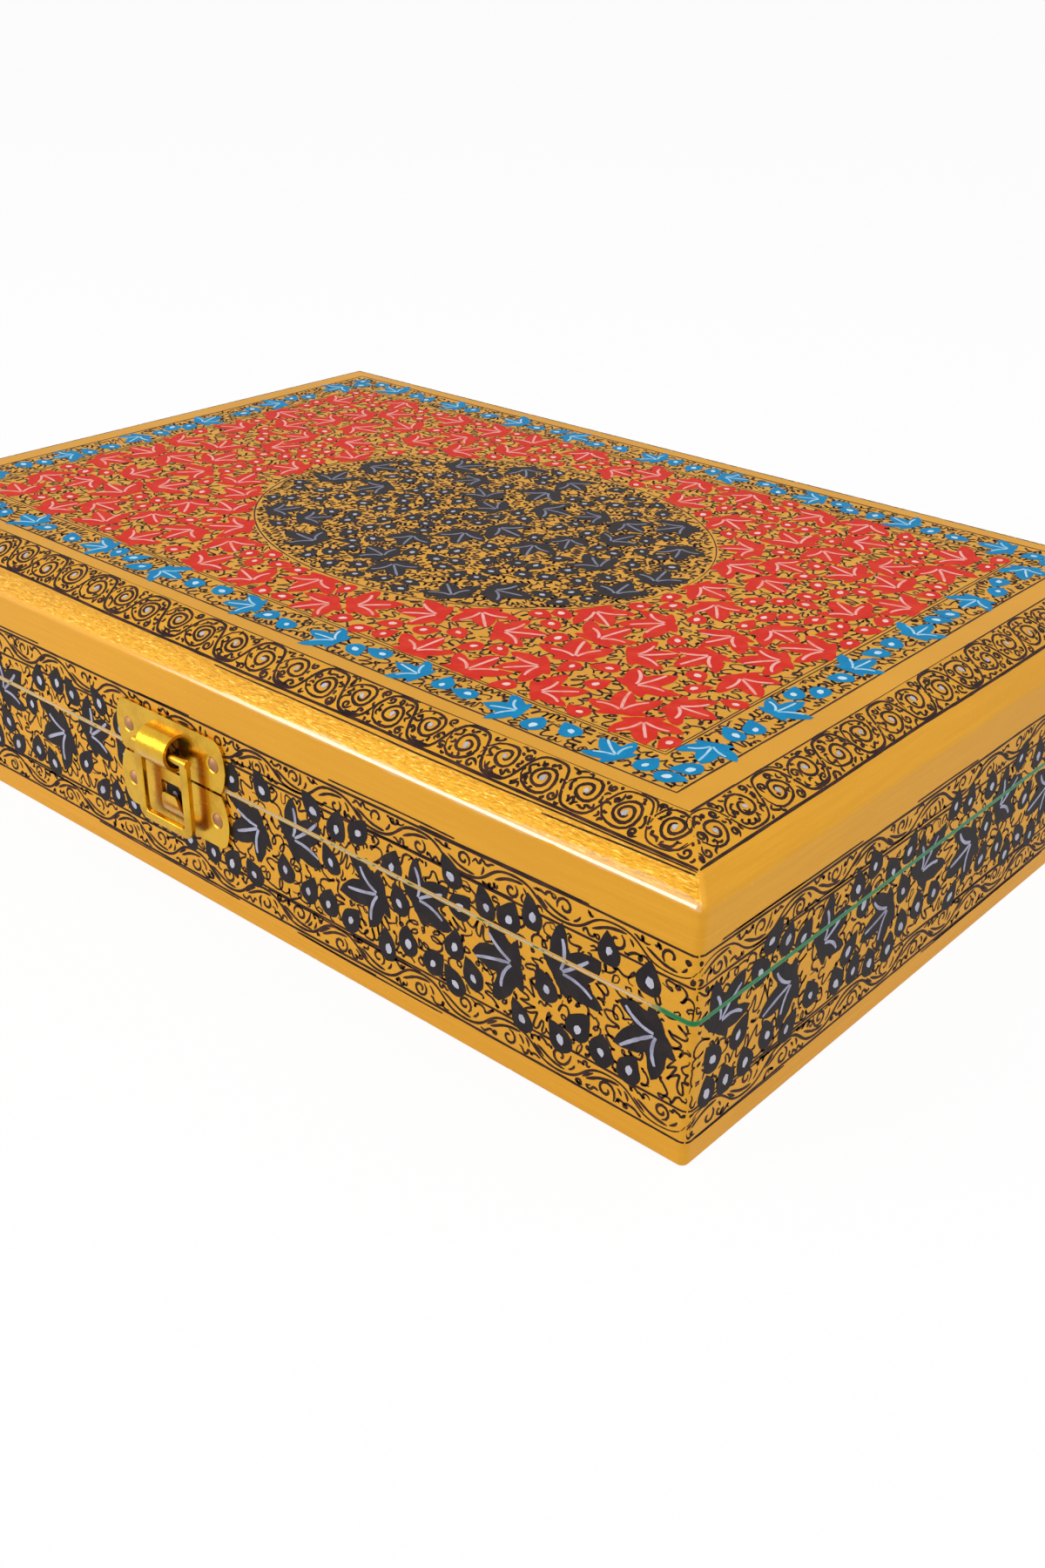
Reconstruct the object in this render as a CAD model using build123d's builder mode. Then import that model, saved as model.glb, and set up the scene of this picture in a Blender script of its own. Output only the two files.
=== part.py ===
from build123d import *
import math
import os

# A long, low papier mache box with a hinged lid, painted, and closed by a small brass latch.
# Millimetres. The origin is the middle of the underside, +Z is up, the latch is on the -Y side.

# ---------------------------------------------------------------- driving dimensions
# the box
box_length = 302.0  # outside, along X
box_width = 206.5  # outside, along Y
wall = 4.0  # pasted board of the four sides
floor_thickness = 4.0
panel_thickness = 4.0  # the lid's flat top
soft_edge = 1.8  # rounding of the upright corners, the crown's arris and its hips
foot_radius = 1.2  # rounding where the sides meet the underside

# the heights, from the underside up
base_height = 33.65  # to the top of the base's rim strip
closing_gap = 0.10  # between the two rims when the lid is shut
rim_strip = 0.55  # green strip pasted along each sawn edge
lid_side = 24.10  # from the lid's rim up to the arris
crown_rise = 8.95  # from the arris up to the flat top
crown_run = 14.3  # from the side in to the flat top
crown_bulge = 1.45  # how far the crown's curve stands out from its own chord
skirt = 3.0  # upright part of a crown moulding, below the arris

# the velvet inside
velvet = 0.8
velvet_reveal = 2.0  # the wall velvet stops this far short of the rim

# brass sheet, nails and wire shared by the latch and the hinges
sheet = 0.8
nail_shank_radius = 0.65
nail_head_radius = 1.75
nail_head_dome = 0.45  # how far the head stands up from the sheet
nail_length = 4.2  # from the face of the sheet to the nail's point
sink_radius = 2.1  # mouth of the dimple that a nail head sits in
nail_fit = 0.03
nail_point = 1.2  # length of the tapered point
sink_angle = 130.0

# the latch
latch_x = 1.6  # nailed on a little right of the middle
plate_width = 39.6
upper_plate_height = 13.2
lower_plate_height = 14.0
upper_plate_drop = 0.9  # the upper plate hangs this far below the joint of lid and base
plate_gap = 0.7
plate_end_bow = 2.0  # the ends of the plates bulge by this much
plate_corner_radius = 3.2
latch_nail_pitch = 31.0
knuckle_width = 10.4
knuckle_x = -1.7  # from the plate's middle
knuckle_inner_radius = 3.8
loop_width = 19.6  # outside
loop_leg = 2.6
loop_foot = 2.4  # height of the bar at the loop's lower end
loop_thickness = 1.5
loop_bar_radius = 1.0
loop_play = 0.3  # between the loop's bar and the nose of the knuckle
loop_reach = 18.8  # from the bar's axis to the middle of the foot
loop_corner_radius = 3.0
tongue_width = 8.4
tongue_tip_width = 5.0
tongue_play = 0.3  # between the tongue's tip and the back of the hanging loop
tongue_rise = 5.8
tongue_window_head = 2.0  # open window left above the tongue's tip

# the hinges
hinge_length = 32.0
hinge_leaf = 10.0  # from the pin's axis to the leaf's far edge
hinge_set_in = 43.0  # from the end of the box to the near end of a hinge
hinge_tube_radius = 1.9
hinge_pin_radius = 0.85
hinge_pin_fit = 0.05
hinge_pin_head = 0.7  # how far the riveted ends stand out
hinge_standoff = 0.3  # from the back of the box to the tube
hinge_knuckle_gap = 0.2
hinge_nail_pitch = 18.0
hinge_nail_drop = 6.2  # from the pin's axis
hinge_corner_radius = 1.5

# ---------------------------------------------------------------- sizes that follow
half_length = box_length / 2
half_width = box_width / 2
base_wall_top = base_height - rim_strip
lid_rim = base_height + closing_gap
lid_wall_foot = lid_rim + rim_strip
arris = lid_rim + lid_side
lid_wall_top = arris - skirt
box_height = arris + crown_rise
joint_height = base_height + closing_gap / 2
panel_underside = box_height - panel_thickness
hinge_x = half_length - hinge_set_in - hinge_length / 2  # to the middle of each hinge
closeness = 0.01  # two heights nearer than this are taken as one

# each side of the box: where its outer face is, which way is in, and half its length
SIDES = {
    "front": (Vector(0, -half_width, 0), Vector(0, 1, 0), half_length),
    "back": (Vector(0, half_width, 0), Vector(0, -1, 0), half_length),
    "left": (Vector(-half_length, 0, 0), Vector(1, 0, 0), half_width),
    "right": (Vector(half_length, 0, 0), Vector(-1, 0, 0), half_width),
}

os.makedirs("parts", exist_ok=True)


def save(piece, label):
    """Label a finished piece and write it out under the same name."""
    piece.part.label = label
    export_step(piece.part, f"parts/{label}.step")
    print(f"{label:26s} {len(piece.part.solids())} solid(s) {piece.part.volume:10.1f} mm3")


def mitre_planes(side):
    """The two upright planes at 45 degrees that end one side of the box."""
    face, inward, reach = SIDES[side]
    along = inward.cross(Vector(0, 0, 1))
    return [
        Plane(origin=face + along * reach * end, z_dir=along * end + inward) for end in (1, -1)
    ]


# ---------------------------------------------------------------- the sides of base and lid
def side_board(side, foot, top, rounded_foot):
    """One side of the box as a board, mitred at both ends."""
    with BuildPart() as board:
        with BuildSketch(Plane.XY.offset(foot)):
            RectangleRounded(box_length, box_width, soft_edge)
            Rectangle(box_length - 2 * wall, box_width - 2 * wall, mode=Mode.SUBTRACT)
        extrude(amount=top - foot)
        if rounded_foot:
            lowest = board.faces().sort_by(Axis.Z)[0]
            fillet(lowest.outer_wire().edges(), radius=foot_radius)
        for cut in mitre_planes(side):
            split(bisect_by=cut, keep=Keep.BOTTOM)
    return board


def nail_holes(centres, face_plane):
    """Pilot holes for nails, from the outer face of the part in hand."""
    with Locations(face_plane):
        with Locations(*centres):
            Hole(radius=nail_shank_radius + nail_fit, depth=nail_length + nail_fit)


# the face that the latch is nailed to, seen from the front, with its middle at the joint
latch_face = Plane(origin=(latch_x, -half_width, joint_height), x_dir=(1, 0, 0), z_dir=(0, -1, 0))
upper_plate_foot = -upper_plate_drop
upper_plate_top = upper_plate_foot + upper_plate_height
lower_plate_top = upper_plate_foot - plate_gap
lower_plate_foot = lower_plate_top - lower_plate_height
upper_nail_height = (upper_plate_foot + upper_plate_top) / 2
lower_nail_height = (lower_plate_foot + lower_plate_top) / 2
upper_latch_nails = [(side * latch_nail_pitch / 2, upper_nail_height) for side in (-1, 1)]
lower_latch_nails = [(side * latch_nail_pitch / 2, lower_nail_height) for side in (-1, 1)]

# the face that a hinge is nailed to, seen from behind, with its middle level with the pin
pin_standoff = hinge_standoff + hinge_tube_radius


def hinge_face(side):
    """The back of the box at the left (-1) or right (1) hinge."""
    return Plane(
        origin=(side * hinge_x, half_width, joint_height), x_dir=(-1, 0, 0), z_dir=(0, 1, 0)
    )


def hinge_nails(leaf_side):
    """Nail places on a lid leaf (1, above the pin) or a base leaf (-1, below it)."""
    return [(end * hinge_nail_pitch / 2, leaf_side * hinge_nail_drop) for end in (-1, 1)]


for side in SIDES:
    with BuildPart() as base_wall:
        add(side_board(side, 0, base_wall_top, rounded_foot=True).part)
        if side == "front":
            nail_holes(lower_latch_nails, latch_face)
        if side == "back":
            for hinge_side in (-1, 1):
                nail_holes(hinge_nails(-1), hinge_face(hinge_side))
    save(base_wall, f"base_{side}_wall")

for side in SIDES:
    with BuildPart() as lid_wall:
        add(side_board(side, lid_wall_foot, lid_wall_top, rounded_foot=False).part)
        if side == "front":
            nail_holes(upper_latch_nails, latch_face)
        if side == "back":
            for hinge_side in (-1, 1):
                nail_holes(hinge_nails(1), hinge_face(hinge_side))
    save(lid_wall, f"lid_{side}_wall")

# ---------------------------------------------------------------- floor, panel and crown
inside_length = box_length - 2 * wall
inside_width = box_width - 2 * wall

with BuildPart() as base_floor:
    with BuildSketch():
        Rectangle(inside_length, inside_width)
    extrude(amount=floor_thickness)
save(base_floor, "base_floor")

panel_length = box_length - 2 * crown_run
panel_width = box_width - 2 * crown_run

with BuildPart() as lid_top_panel:
    with BuildSketch(Plane.XY.offset(panel_underside)):
        Rectangle(panel_length, panel_width)
    extrude(amount=panel_thickness)
save(lid_top_panel, "lid_top_panel")


# the crown in one piece: two outlines, drawn across and along the box, and what they share
with BuildPart() as crown:
    for outline_plane, half_depth, half_run, how in (
        (Plane.YZ, half_width, half_length, Mode.ADD),
        (Plane.XZ, half_length, half_width, Mode.INTERSECT),
    ):
        with BuildSketch(outline_plane):
            with BuildLine():
                foot_line = Line((-half_depth, lid_wall_top), (half_depth, lid_wall_top))
                right_skirt = Line(foot_line @ 1, (half_depth, arris))
                flat_end = (half_depth - crown_run, box_height)
                right_curve = SagittaArc(right_skirt @ 1, flat_end, -crown_bulge)
                flat = Line(right_curve @ 1, (crown_run - half_depth, box_height))
                left_curve = SagittaArc(flat @ 1, (-half_depth, arris), -crown_bulge)
                Line(left_curve @ 1, foot_line @ 0)
            make_face()
        extrude(amount=half_run, both=True, mode=how)
    outer_edges = crown.edges().filter_by_position(Axis.Z, lid_wall_top, box_height, (False, False))
    fillet(outer_edges, radius=soft_edge)
    with BuildSketch(Plane.XY.offset(lid_wall_top)):
        Rectangle(inside_length, inside_width)
    with BuildSketch(Plane.XY.offset(panel_underside)):
        Rectangle(panel_length, panel_width)
    loft(mode=Mode.SUBTRACT)
    with BuildSketch(Plane.XY.offset(panel_underside)):
        Rectangle(panel_length, panel_width)
    extrude(amount=panel_thickness, mode=Mode.SUBTRACT)

for side in SIDES:
    with BuildPart() as lid_moulding:
        add(crown.part)
        for cut in mitre_planes(side):
            split(bisect_by=cut, keep=Keep.BOTTOM)
    save(lid_moulding, f"lid_{side}_moulding")

# ---------------------------------------------------------------- rim strips and velvet
for body, strip_foot in (("base", base_wall_top), ("lid", lid_rim)):
    with BuildPart() as rim:
        with BuildSketch(Plane.XY.offset(strip_foot)):
            RectangleRounded(box_length, box_width, soft_edge)
            Rectangle(inside_length, inside_width, mode=Mode.SUBTRACT)
        extrude(amount=rim_strip)
    save(rim, f"{body}_rim_strip")

with BuildPart() as base_floor_velvet:
    with BuildSketch(Plane.XY.offset(floor_thickness)):
        Rectangle(inside_length, inside_width)
    extrude(amount=velvet)
save(base_floor_velvet, "base_floor_velvet")

for body, velvet_foot, velvet_top in (
    ("base", floor_thickness + velvet, base_height - velvet_reveal),
    ("lid", lid_rim + velvet_reveal, lid_wall_top),
):
    with BuildPart() as wall_velvet:
        with BuildSketch(Plane.XY.offset(velvet_foot)):
            Rectangle(inside_length, inside_width)
            Rectangle(inside_length - 2 * velvet, inside_width - 2 * velvet, mode=Mode.SUBTRACT)
        extrude(amount=velvet_top - velvet_foot)
    save(wall_velvet, f"{body}_wall_velvet")

# the velvet tray glued up under the crown and the panel
with BuildPart() as lid_crown_velvet:
    for inset, how in ((0, Mode.ADD), (velvet, Mode.SUBTRACT)):
        with BuildSketch(Plane.XY.offset(lid_wall_top)):
            Rectangle(inside_length - 2 * inset, inside_width - 2 * inset)
        with BuildSketch(Plane.XY.offset(panel_underside - inset)):
            Rectangle(panel_length - inset, panel_width - inset)
        loft(mode=how)
save(lid_crown_velvet, "lid_crown_velvet")

# ---------------------------------------------------------------- nails
sink_slope = math.tan(math.radians(sink_angle / 2))
head_edge = (sink_radius - nail_fit - nail_head_radius) / sink_slope
head_neck = (sink_radius - nail_fit - nail_shank_radius) / sink_slope

# one nail, with the face of the sheet that it holds at z = 0
with BuildPart() as nail:
    with BuildSketch(Plane.XZ):
        with BuildLine():
            point = Line((0, -nail_length), (nail_shank_radius, nail_point - nail_length))
            shank = Line(point @ 1, (nail_shank_radius, -head_neck))
            cone = Line(shank @ 1, (nail_head_radius, -head_edge))
            dome = TangentArc((0, nail_head_dome), cone @ 1, tangent=(1, 0))
            Line(dome @ 0, point @ 0)
        make_face()
    revolve(axis=Axis.Z)


def save_nails(label, faces_and_places):
    """A group of nails, each driven through its sheet of brass into the board behind."""
    with BuildPart() as group:
        for face_plane, places in faces_and_places:
            with Locations(face_plane.offset(sheet)):
                with Locations(*places):
                    add(nail.part)
    save(group, label)


def dimpled_holes(face_plane, places):
    """Nail holes with a wide dimple, through a sheet that lies on the given face."""
    with Locations(face_plane.offset(sheet)):
        with Locations(*places):
            CounterSinkHole(
                radius=nail_shank_radius + nail_fit,
                counter_sink_radius=sink_radius,
                depth=sheet,
                counter_sink_angle=sink_angle,
            )


save_nails("latch_upper_nails", [(latch_face, upper_latch_nails)])
save_nails("latch_lower_nails", [(latch_face, lower_latch_nails)])
for body, leaf_side in (("base", -1), ("lid", 1)):
    save_nails(
        f"hinge_{body}_nails", [(hinge_face(end), hinge_nails(leaf_side)) for end in (-1, 1)]
    )

# ---------------------------------------------------------------- latch
knuckle_outer_radius = knuckle_inner_radius + sheet
knuckle_middle = latch_x + knuckle_x
knuckle_height = upper_plate_foot + upper_plate_drop + knuckle_outer_radius
loop_out = sheet + knuckle_inner_radius - loop_play - loop_bar_radius  # bar's axis to the box
foot_top = knuckle_height - loop_reach + loop_foot / 2
tongue_root = foot_top + tongue_play
tongue_tip = tongue_root + tongue_rise
tongue_out = loop_out - loop_thickness / 2 - tongue_play
window_width = tongue_width + 2 * tongue_play
window_height = tongue_rise + tongue_window_head


def latch_section(x):
    """The latch seen from its end: local x is the distance out from the box, local y is up."""
    return Plane(origin=(x, -half_width, joint_height), x_dir=(0, -1, 0), z_dir=(-1, 0, 0))


def latch_plate(foot, top, rounded_end):
    """A plate with bowed ends, and its two outer corners rounded (1 at its top, -1 at its foot)."""
    reach = plate_width / 2 - plate_end_bow
    middle = (foot + top) / 2
    with BuildPart() as plate:
        with BuildSketch(latch_face):
            with BuildLine():
                foot_edge = Line((-reach, foot), (reach, foot))
                right_end = ThreePointArc(
                    foot_edge @ 1, (reach + plate_end_bow, middle), (reach, top)
                )
                top_edge = Line(right_end @ 1, (-reach, top))
                ThreePointArc(top_edge @ 1, (-reach - plate_end_bow, middle), foot_edge @ 0)
            make_face()
            by_height = vertices().sort_by(Axis.Y)
            fillet(by_height[-2:] if rounded_end > 0 else by_height[:2], plate_corner_radius)
        extrude(amount=sheet)
    return plate


# the upper plate carries a strap pressed out of it as a half round knuckle
with BuildPart() as latch_upper_plate:
    add(latch_plate(upper_plate_foot, upper_plate_top, 1).part)
    with BuildSketch(latch_section(knuckle_middle)):
        with Locations((sheet, knuckle_height)):
            Circle(knuckle_outer_radius)
            with Locations((-knuckle_outer_radius - sheet / 2, 0)):
                Rectangle(
                    2 * knuckle_outer_radius, 2 * knuckle_outer_radius, mode=Mode.SUBTRACT
                )
    extrude(amount=knuckle_width / 2, both=True)
    with BuildSketch(latch_section(knuckle_middle)):
        with Locations((sheet, knuckle_height)):
            Circle(knuckle_inner_radius)
        with Locations((sheet / 2, knuckle_height)):
            Rectangle(sheet, 2 * knuckle_inner_radius)
    extrude(amount=knuckle_width / 2, both=True, mode=Mode.SUBTRACT)
    dimpled_holes(latch_face, upper_latch_nails)
save(latch_upper_plate, "latch_upper_plate")

# the springy catch that the loop snaps under, bent out of the lower plate's window
with BuildPart() as tongue:
    with BuildSketch(latch_section(latch_x)):
        with BuildLine():
            root = Line((0, tongue_root), (sheet, tongue_root))
            underside = SagittaArc(root @ 1, (tongue_out, tongue_tip), -sheet / 2)
            tip = Line(underside @ 1, (tongue_out - sheet, tongue_tip))
            SagittaArc(tip @ 1, root @ 0, sheet / 2)
        make_face()
    extrude(amount=tongue_width / 2, both=True)
    with BuildSketch(latch_face):
        with BuildLine():
            Polyline(
                (-tongue_width / 2, tongue_root),
                (tongue_width / 2, tongue_root),
                (tongue_tip_width / 2, tongue_tip),
                (-tongue_tip_width / 2, tongue_tip),
                close=True,
            )
        make_face()
        fillet(vertices().sort_by(Axis.Y)[-2:], tongue_tip_width / 4)
    extrude(amount=loop_out, mode=Mode.INTERSECT)

with BuildPart() as latch_lower_plate:
    add(latch_plate(lower_plate_foot, lower_plate_top, -1).part)
    with BuildSketch(latch_face):
        with Locations((0, tongue_root + window_height / 2)):
            Rectangle(window_width, window_height)
    extrude(amount=sheet, mode=Mode.SUBTRACT)
    add(tongue.part)
    dimpled_holes(latch_face, lower_latch_nails)
save(latch_lower_plate, "latch_lower_plate")

# the loop that swings in the knuckle: a bent wire, flattened below its bar
loop_window_foot = foot_top - knuckle_height
loop_window_head = -loop_bar_radius
with BuildPart() as latch_loop:
    loop_plane = latch_face.offset(loop_out - loop_thickness / 2)
    with BuildSketch(loop_plane):
        with Locations((0, knuckle_height)):
            with Locations((0, (loop_window_foot - loop_foot) / 2)):
                Rectangle(loop_width, loop_foot - loop_window_foot)
            fillet(vertices().sort_by(Axis.Y)[:2], loop_corner_radius)
            with Locations((0, (loop_window_foot + loop_window_head) / 2)):
                Rectangle(
                    loop_width - 2 * loop_leg,
                    loop_window_head - loop_window_foot,
                    mode=Mode.SUBTRACT,
                )
        window_foot_corners = vertices().filter_by_position(
            Axis.Y, foot_top - closeness, foot_top + closeness
        )
        fillet(window_foot_corners, loop_corner_radius / 3)
    extrude(amount=loop_thickness)
    fillet(latch_loop.faces().filter_by(Axis.Y).edges(), radius=loop_thickness / 4)
    with BuildSketch(latch_section(latch_x)):
        with Locations((loop_out, knuckle_height)):
            Circle(loop_bar_radius)
    extrude(amount=loop_width / 2, both=True)
save(latch_loop, "latch_loop")

# ---------------------------------------------------------------- hinges
KNUCKLES = 5
hinge_knuckle = (hinge_length - (KNUCKLES - 1) * hinge_knuckle_gap) / KNUCKLES
leaf_near_edge = hinge_tube_radius + hinge_knuckle_gap * 2
tab_near_edge = hinge_knuckle_gap * 2
hinge_pin_head_radius = hinge_tube_radius * 0.7


def hinge_section(x):
    """The hinge seen from its end: local x is the distance out from the back, local y is up."""
    return Plane(origin=(x, half_width, joint_height), x_dir=(0, 1, 0), z_dir=(1, 0, 0))


def hinge_half(end, leaf_side, first_knuckle):
    """A leaf with every second knuckle of the tube, above (1) or below (-1) the pin."""
    pitch = hinge_knuckle + hinge_knuckle_gap
    first_x = end * hinge_x - hinge_length / 2 + hinge_knuckle / 2
    with BuildPart() as half:
        with BuildSketch(hinge_face(end)):
            with Locations((0, leaf_side * (leaf_near_edge + hinge_leaf) / 2)):
                Rectangle(hinge_length, hinge_leaf - leaf_near_edge)
            far_corners = vertices().sort_by(Axis.Y)
            fillet(far_corners[-2:] if leaf_side > 0 else far_corners[:2], hinge_corner_radius)
        extrude(amount=sheet)
        for number in range(first_knuckle, KNUCKLES, 2):
            with BuildSketch(hinge_section(first_x + number * pitch)):
                with Locations((pin_standoff, 0)):
                    Circle(hinge_tube_radius)
                with Locations((sheet / 2, leaf_side * (tab_near_edge + leaf_near_edge) / 2)):
                    Rectangle(sheet, leaf_near_edge - tab_near_edge)
            extrude(amount=hinge_knuckle / 2, both=True)
        with BuildSketch(hinge_section(end * hinge_x)):
            with Locations((pin_standoff, 0)):
                Circle(hinge_pin_radius + hinge_pin_fit)
        extrude(amount=hinge_length, both=True, mode=Mode.SUBTRACT)
        dimpled_holes(hinge_face(end), hinge_nails(leaf_side))
    return half


for hand, end in (("left", -1), ("right", 1)):
    save(hinge_half(end, -1, 0), f"hinge_{hand}_base_leaf")
    save(hinge_half(end, 1, 1), f"hinge_{hand}_lid_leaf")
    with BuildPart() as hinge_pin:
        with BuildSketch(hinge_section(end * hinge_x)):
            with Locations((pin_standoff, 0)):
                Circle(hinge_pin_radius)
        extrude(amount=hinge_length / 2, both=True)
        for reach in (-1, 1):
            head_foot = hinge_section(end * hinge_x + reach * hinge_length / 2)
            with BuildSketch(head_foot):
                with Locations((pin_standoff, 0)):
                    Circle(hinge_pin_head_radius)
            extrude(amount=reach * hinge_pin_head, taper=20)
    save(hinge_pin, f"hinge_{hand}_pin")
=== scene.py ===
# %% [markdown]
# # A painted papier mache box
# Kashmiri painters paste such a box up from paper board, prime it with chalk gesso, lay a gold ground, and cover it
# with chinar leaves, buds and penned scrolls. The boards, hinges and latch are already there as a frame in real sizes.
# This lesson gives them their finishes, paints the ornament on, and lines the inside with velvet. The frame is loaded
# first, because everything else takes its place from it.

# %% Load the frame
import math
import bmesh
import bpy
import numpy as np
from mathutils import Matrix, Vector
from mathutils.bvhtree import BVHTree


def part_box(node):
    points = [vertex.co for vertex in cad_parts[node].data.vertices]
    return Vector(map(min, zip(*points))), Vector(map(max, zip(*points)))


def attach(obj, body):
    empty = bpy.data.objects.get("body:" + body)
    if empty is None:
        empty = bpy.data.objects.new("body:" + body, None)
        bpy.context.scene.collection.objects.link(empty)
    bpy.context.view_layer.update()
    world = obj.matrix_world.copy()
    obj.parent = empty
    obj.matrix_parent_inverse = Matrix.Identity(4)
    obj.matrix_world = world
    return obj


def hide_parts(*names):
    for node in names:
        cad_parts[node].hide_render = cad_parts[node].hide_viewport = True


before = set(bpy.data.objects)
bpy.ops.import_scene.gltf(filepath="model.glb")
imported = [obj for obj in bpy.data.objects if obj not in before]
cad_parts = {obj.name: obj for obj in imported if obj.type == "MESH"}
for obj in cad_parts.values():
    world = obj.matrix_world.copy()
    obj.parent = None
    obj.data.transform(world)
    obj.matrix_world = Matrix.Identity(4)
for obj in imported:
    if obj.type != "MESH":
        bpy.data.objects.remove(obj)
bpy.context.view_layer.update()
scene = bpy.context.scene
mm = 0.001

# %% [markdown]
# A painter rules the box up before painting it. Blender can't know where a lid ends and a crown begins, so the same
# ruling is done here: the edges are read off the frame's own pieces, and the ornament is measured from them. Layouts
# are drawn in millimetres, as on a cutting mat, and become metres only when a mesh is made.

# %% Rule up the box
half_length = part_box("base_right_wall")[1].x / mm
half_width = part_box("base_back_wall")[1].y / mm
base_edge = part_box("base_front_wall")[1].z / mm
lid_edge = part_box("lid_front_wall")[0].z / mm
panel_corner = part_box("lid_top_panel")[1]
flat_half_length, flat_half_width, top_height = (reach / mm for reach in panel_corner)
moulding_skirt = 3.0
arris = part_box("lid_front_moulding")[0].z / mm + moulding_skirt
crown_run = half_length - flat_half_length
crown_rise = top_height - arris
crown_bulge = 1.45
measures = (2 * half_length, 2 * half_width, top_height, arris, crown_run, crown_rise)
print("length, width, height, arris, crown's run and rise:", *(round(measure, 2) for measure in measures))

# %% [markdown]
# ## Camera, floor and light
# The camera stands close to the near corner and looks down on it, so the perspective is strong. Three angles place it.
# A camera looks along its own -Z, so its matrix is built from the direction back to it, the direction to its right,
# and their cross product, and is then rolled by a degree.

# %% Place the camera
camera_place = (283.6 * mm, -304.45 * mm, 210.4 * mm)
azimuth, elevation, roll = math.radians(40.95), math.radians(28.15), math.radians(0.96)
sensor_height, focal_length = 36.0, 37.54
back = Vector(
    (math.sin(azimuth) * math.cos(elevation), -math.cos(azimuth) * math.cos(elevation), math.sin(elevation))
)
level_right = Vector((math.cos(azimuth), math.sin(azimuth), 0))
level_up = back.cross(level_right)
right = level_right * math.cos(roll) + level_up * math.sin(roll)
up = level_up * math.cos(roll) - level_right * math.sin(roll)
bpy.ops.object.camera_add()
camera = bpy.context.object
camera.data.sensor_fit = "VERTICAL"
camera.data.sensor_height = sensor_height
camera.data.lens = focal_length
camera.data.clip_start = 0.01
camera.matrix_world = Matrix.Translation(camera_place) @ Matrix((right, up, back)).transposed().to_4x4()
scene.camera = camera
print("camera looks down by", round(math.degrees(elevation), 1), "degrees")

# %% [markdown]
# ## Shader maths in plain Python
# A finish is a small network of nodes. Wiring it by hand hides the idea, so it is written as a recipe here. Recipe has
# the one method that adds a node: it takes the node's type, its settings, and what goes into its sockets. Value wraps
# the output of a node, and `1 - mask * 0.5` then adds the Math nodes for it. Finish is the recipe of a material.

# %% Recipe and Value
class Recipe:
    def __init__(self, tree):
        self.tree = tree

    def node(self, kind, settings, sockets):
        made = self.tree.nodes.new(kind)
        for name, value in settings.items():
            setattr(made, name, value)
        for name, value in sockets.items():
            source = getattr(value, "socket", value)
            if isinstance(source, bpy.types.NodeSocket):
                self.tree.links.new(source, made.inputs[name])
            else:
                made.inputs[name].default_value = source
        return made


class Value:
    def __init__(self, recipe, socket):
        self.recipe = recipe
        self.socket = socket

    def maths(self, operation, first, second):
        made = self.recipe.node("ShaderNodeMath", {"operation": operation}, {0: first, 1: second})
        return Value(self.recipe, made.outputs[0])

    def __add__(self, other):
        return self.maths("ADD", self, other)

    def __radd__(self, other):
        return self.maths("ADD", other, self)

    def __sub__(self, other):
        return self.maths("SUBTRACT", self, other)

    def __rsub__(self, other):
        return self.maths("SUBTRACT", other, self)

    def __mul__(self, other):
        return self.maths("MULTIPLY", self, other)

    def __rmul__(self, other):
        return self.maths("MULTIPLY", other, self)

    def __truediv__(self, other):
        return self.maths("DIVIDE", self, other)


print("Value adds the nodes for + - * and /")

# %% Finish: the recipe of a material
def linear(red, green, blue):
    """A colour given as screen values from 0 to 255, in the linear light that shaders use."""
    shares = [value / 255 for value in (red, green, blue)]
    return tuple(s / 12.92 if s <= 0.04045 else ((s + 0.055) / 1.055) ** 2.4 for s in shares) + (1.0,)


class Finish(Recipe):
    def __init__(self, name, **constants):
        self.material = bpy.data.materials.new(name)
        self.material.use_nodes = True
        super().__init__(self.material.node_tree)
        self.shader = self.tree.nodes["Principled BSDF"]
        for socket, value in constants.items():
            self.shader.inputs[socket.replace("_", " ")].default_value = value
        self.places = self.node("ShaderNodeTexCoord", {}, {}).outputs["Object"]

    def stretched(self, x, y, z):
        """Object coordinates scaled per axis: a small factor draws a pattern out along that axis."""
        made = self.node("ShaderNodeMapping", {"vector_type": "POINT"}, {"Vector": self.places, "Scale": (x, y, z)})
        return made.outputs["Vector"]

    def noise(self, scale, detail=2.0, roughness=0.5, vector=None, distortion=0.0):
        look = {"Scale": scale, "Detail": detail, "Roughness": roughness, "Distortion": distortion}
        made = self.node("ShaderNodeTexNoise", {}, {"Vector": vector or self.places, **look})
        return Value(self, made.outputs["Fac"])

    def between(self, value, low, high):
        """0 below low, 1 above high, and smooth in between."""
        settings = {"interpolation_type": "SMOOTHSTEP", "clamp": True}
        made = self.node("ShaderNodeMapRange", settings, {"Value": value, "From Min": low, "From Max": high})
        return Value(self, made.outputs["Result"])

    def band(self, value, foot, head):
        """1 in a band. Its foot and its head are each given as where the change starts and ends."""
        return self.between(value, *foot) - self.between(value, *head)

    def along(self, axis):
        """The place along X, Y or Z, in metres."""
        return Value(self, self.node("ShaderNodeSeparateXYZ", {}, {0: self.places}).outputs[axis])

    def blend(self, first, second, share):
        """Two colours mixed: the second shows where share is 1."""
        return self.node("ShaderNodeMix", {"data_type": "RGBA"}, {0: share, 6: first, 7: second}).outputs[2]

    def put(self, socket, value):
        self.tree.links.new(getattr(value, "socket", value), self.shader.inputs[socket])

    def relief(self, height, depth):
        """Bump: height runs from 0 to 1, depth is its full height in metres."""
        made = self.node("ShaderNodeBump", {}, {"Height": height, "Distance": depth, "Strength": 1.0})
        self.put("Normal", made.outputs["Normal"])

    def dress(self, *names):
        """Give this material to CAD nodes."""
        for name in names:
            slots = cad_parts[name].data.materials
            slots.clear()
            slots.append(self.material)


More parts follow.
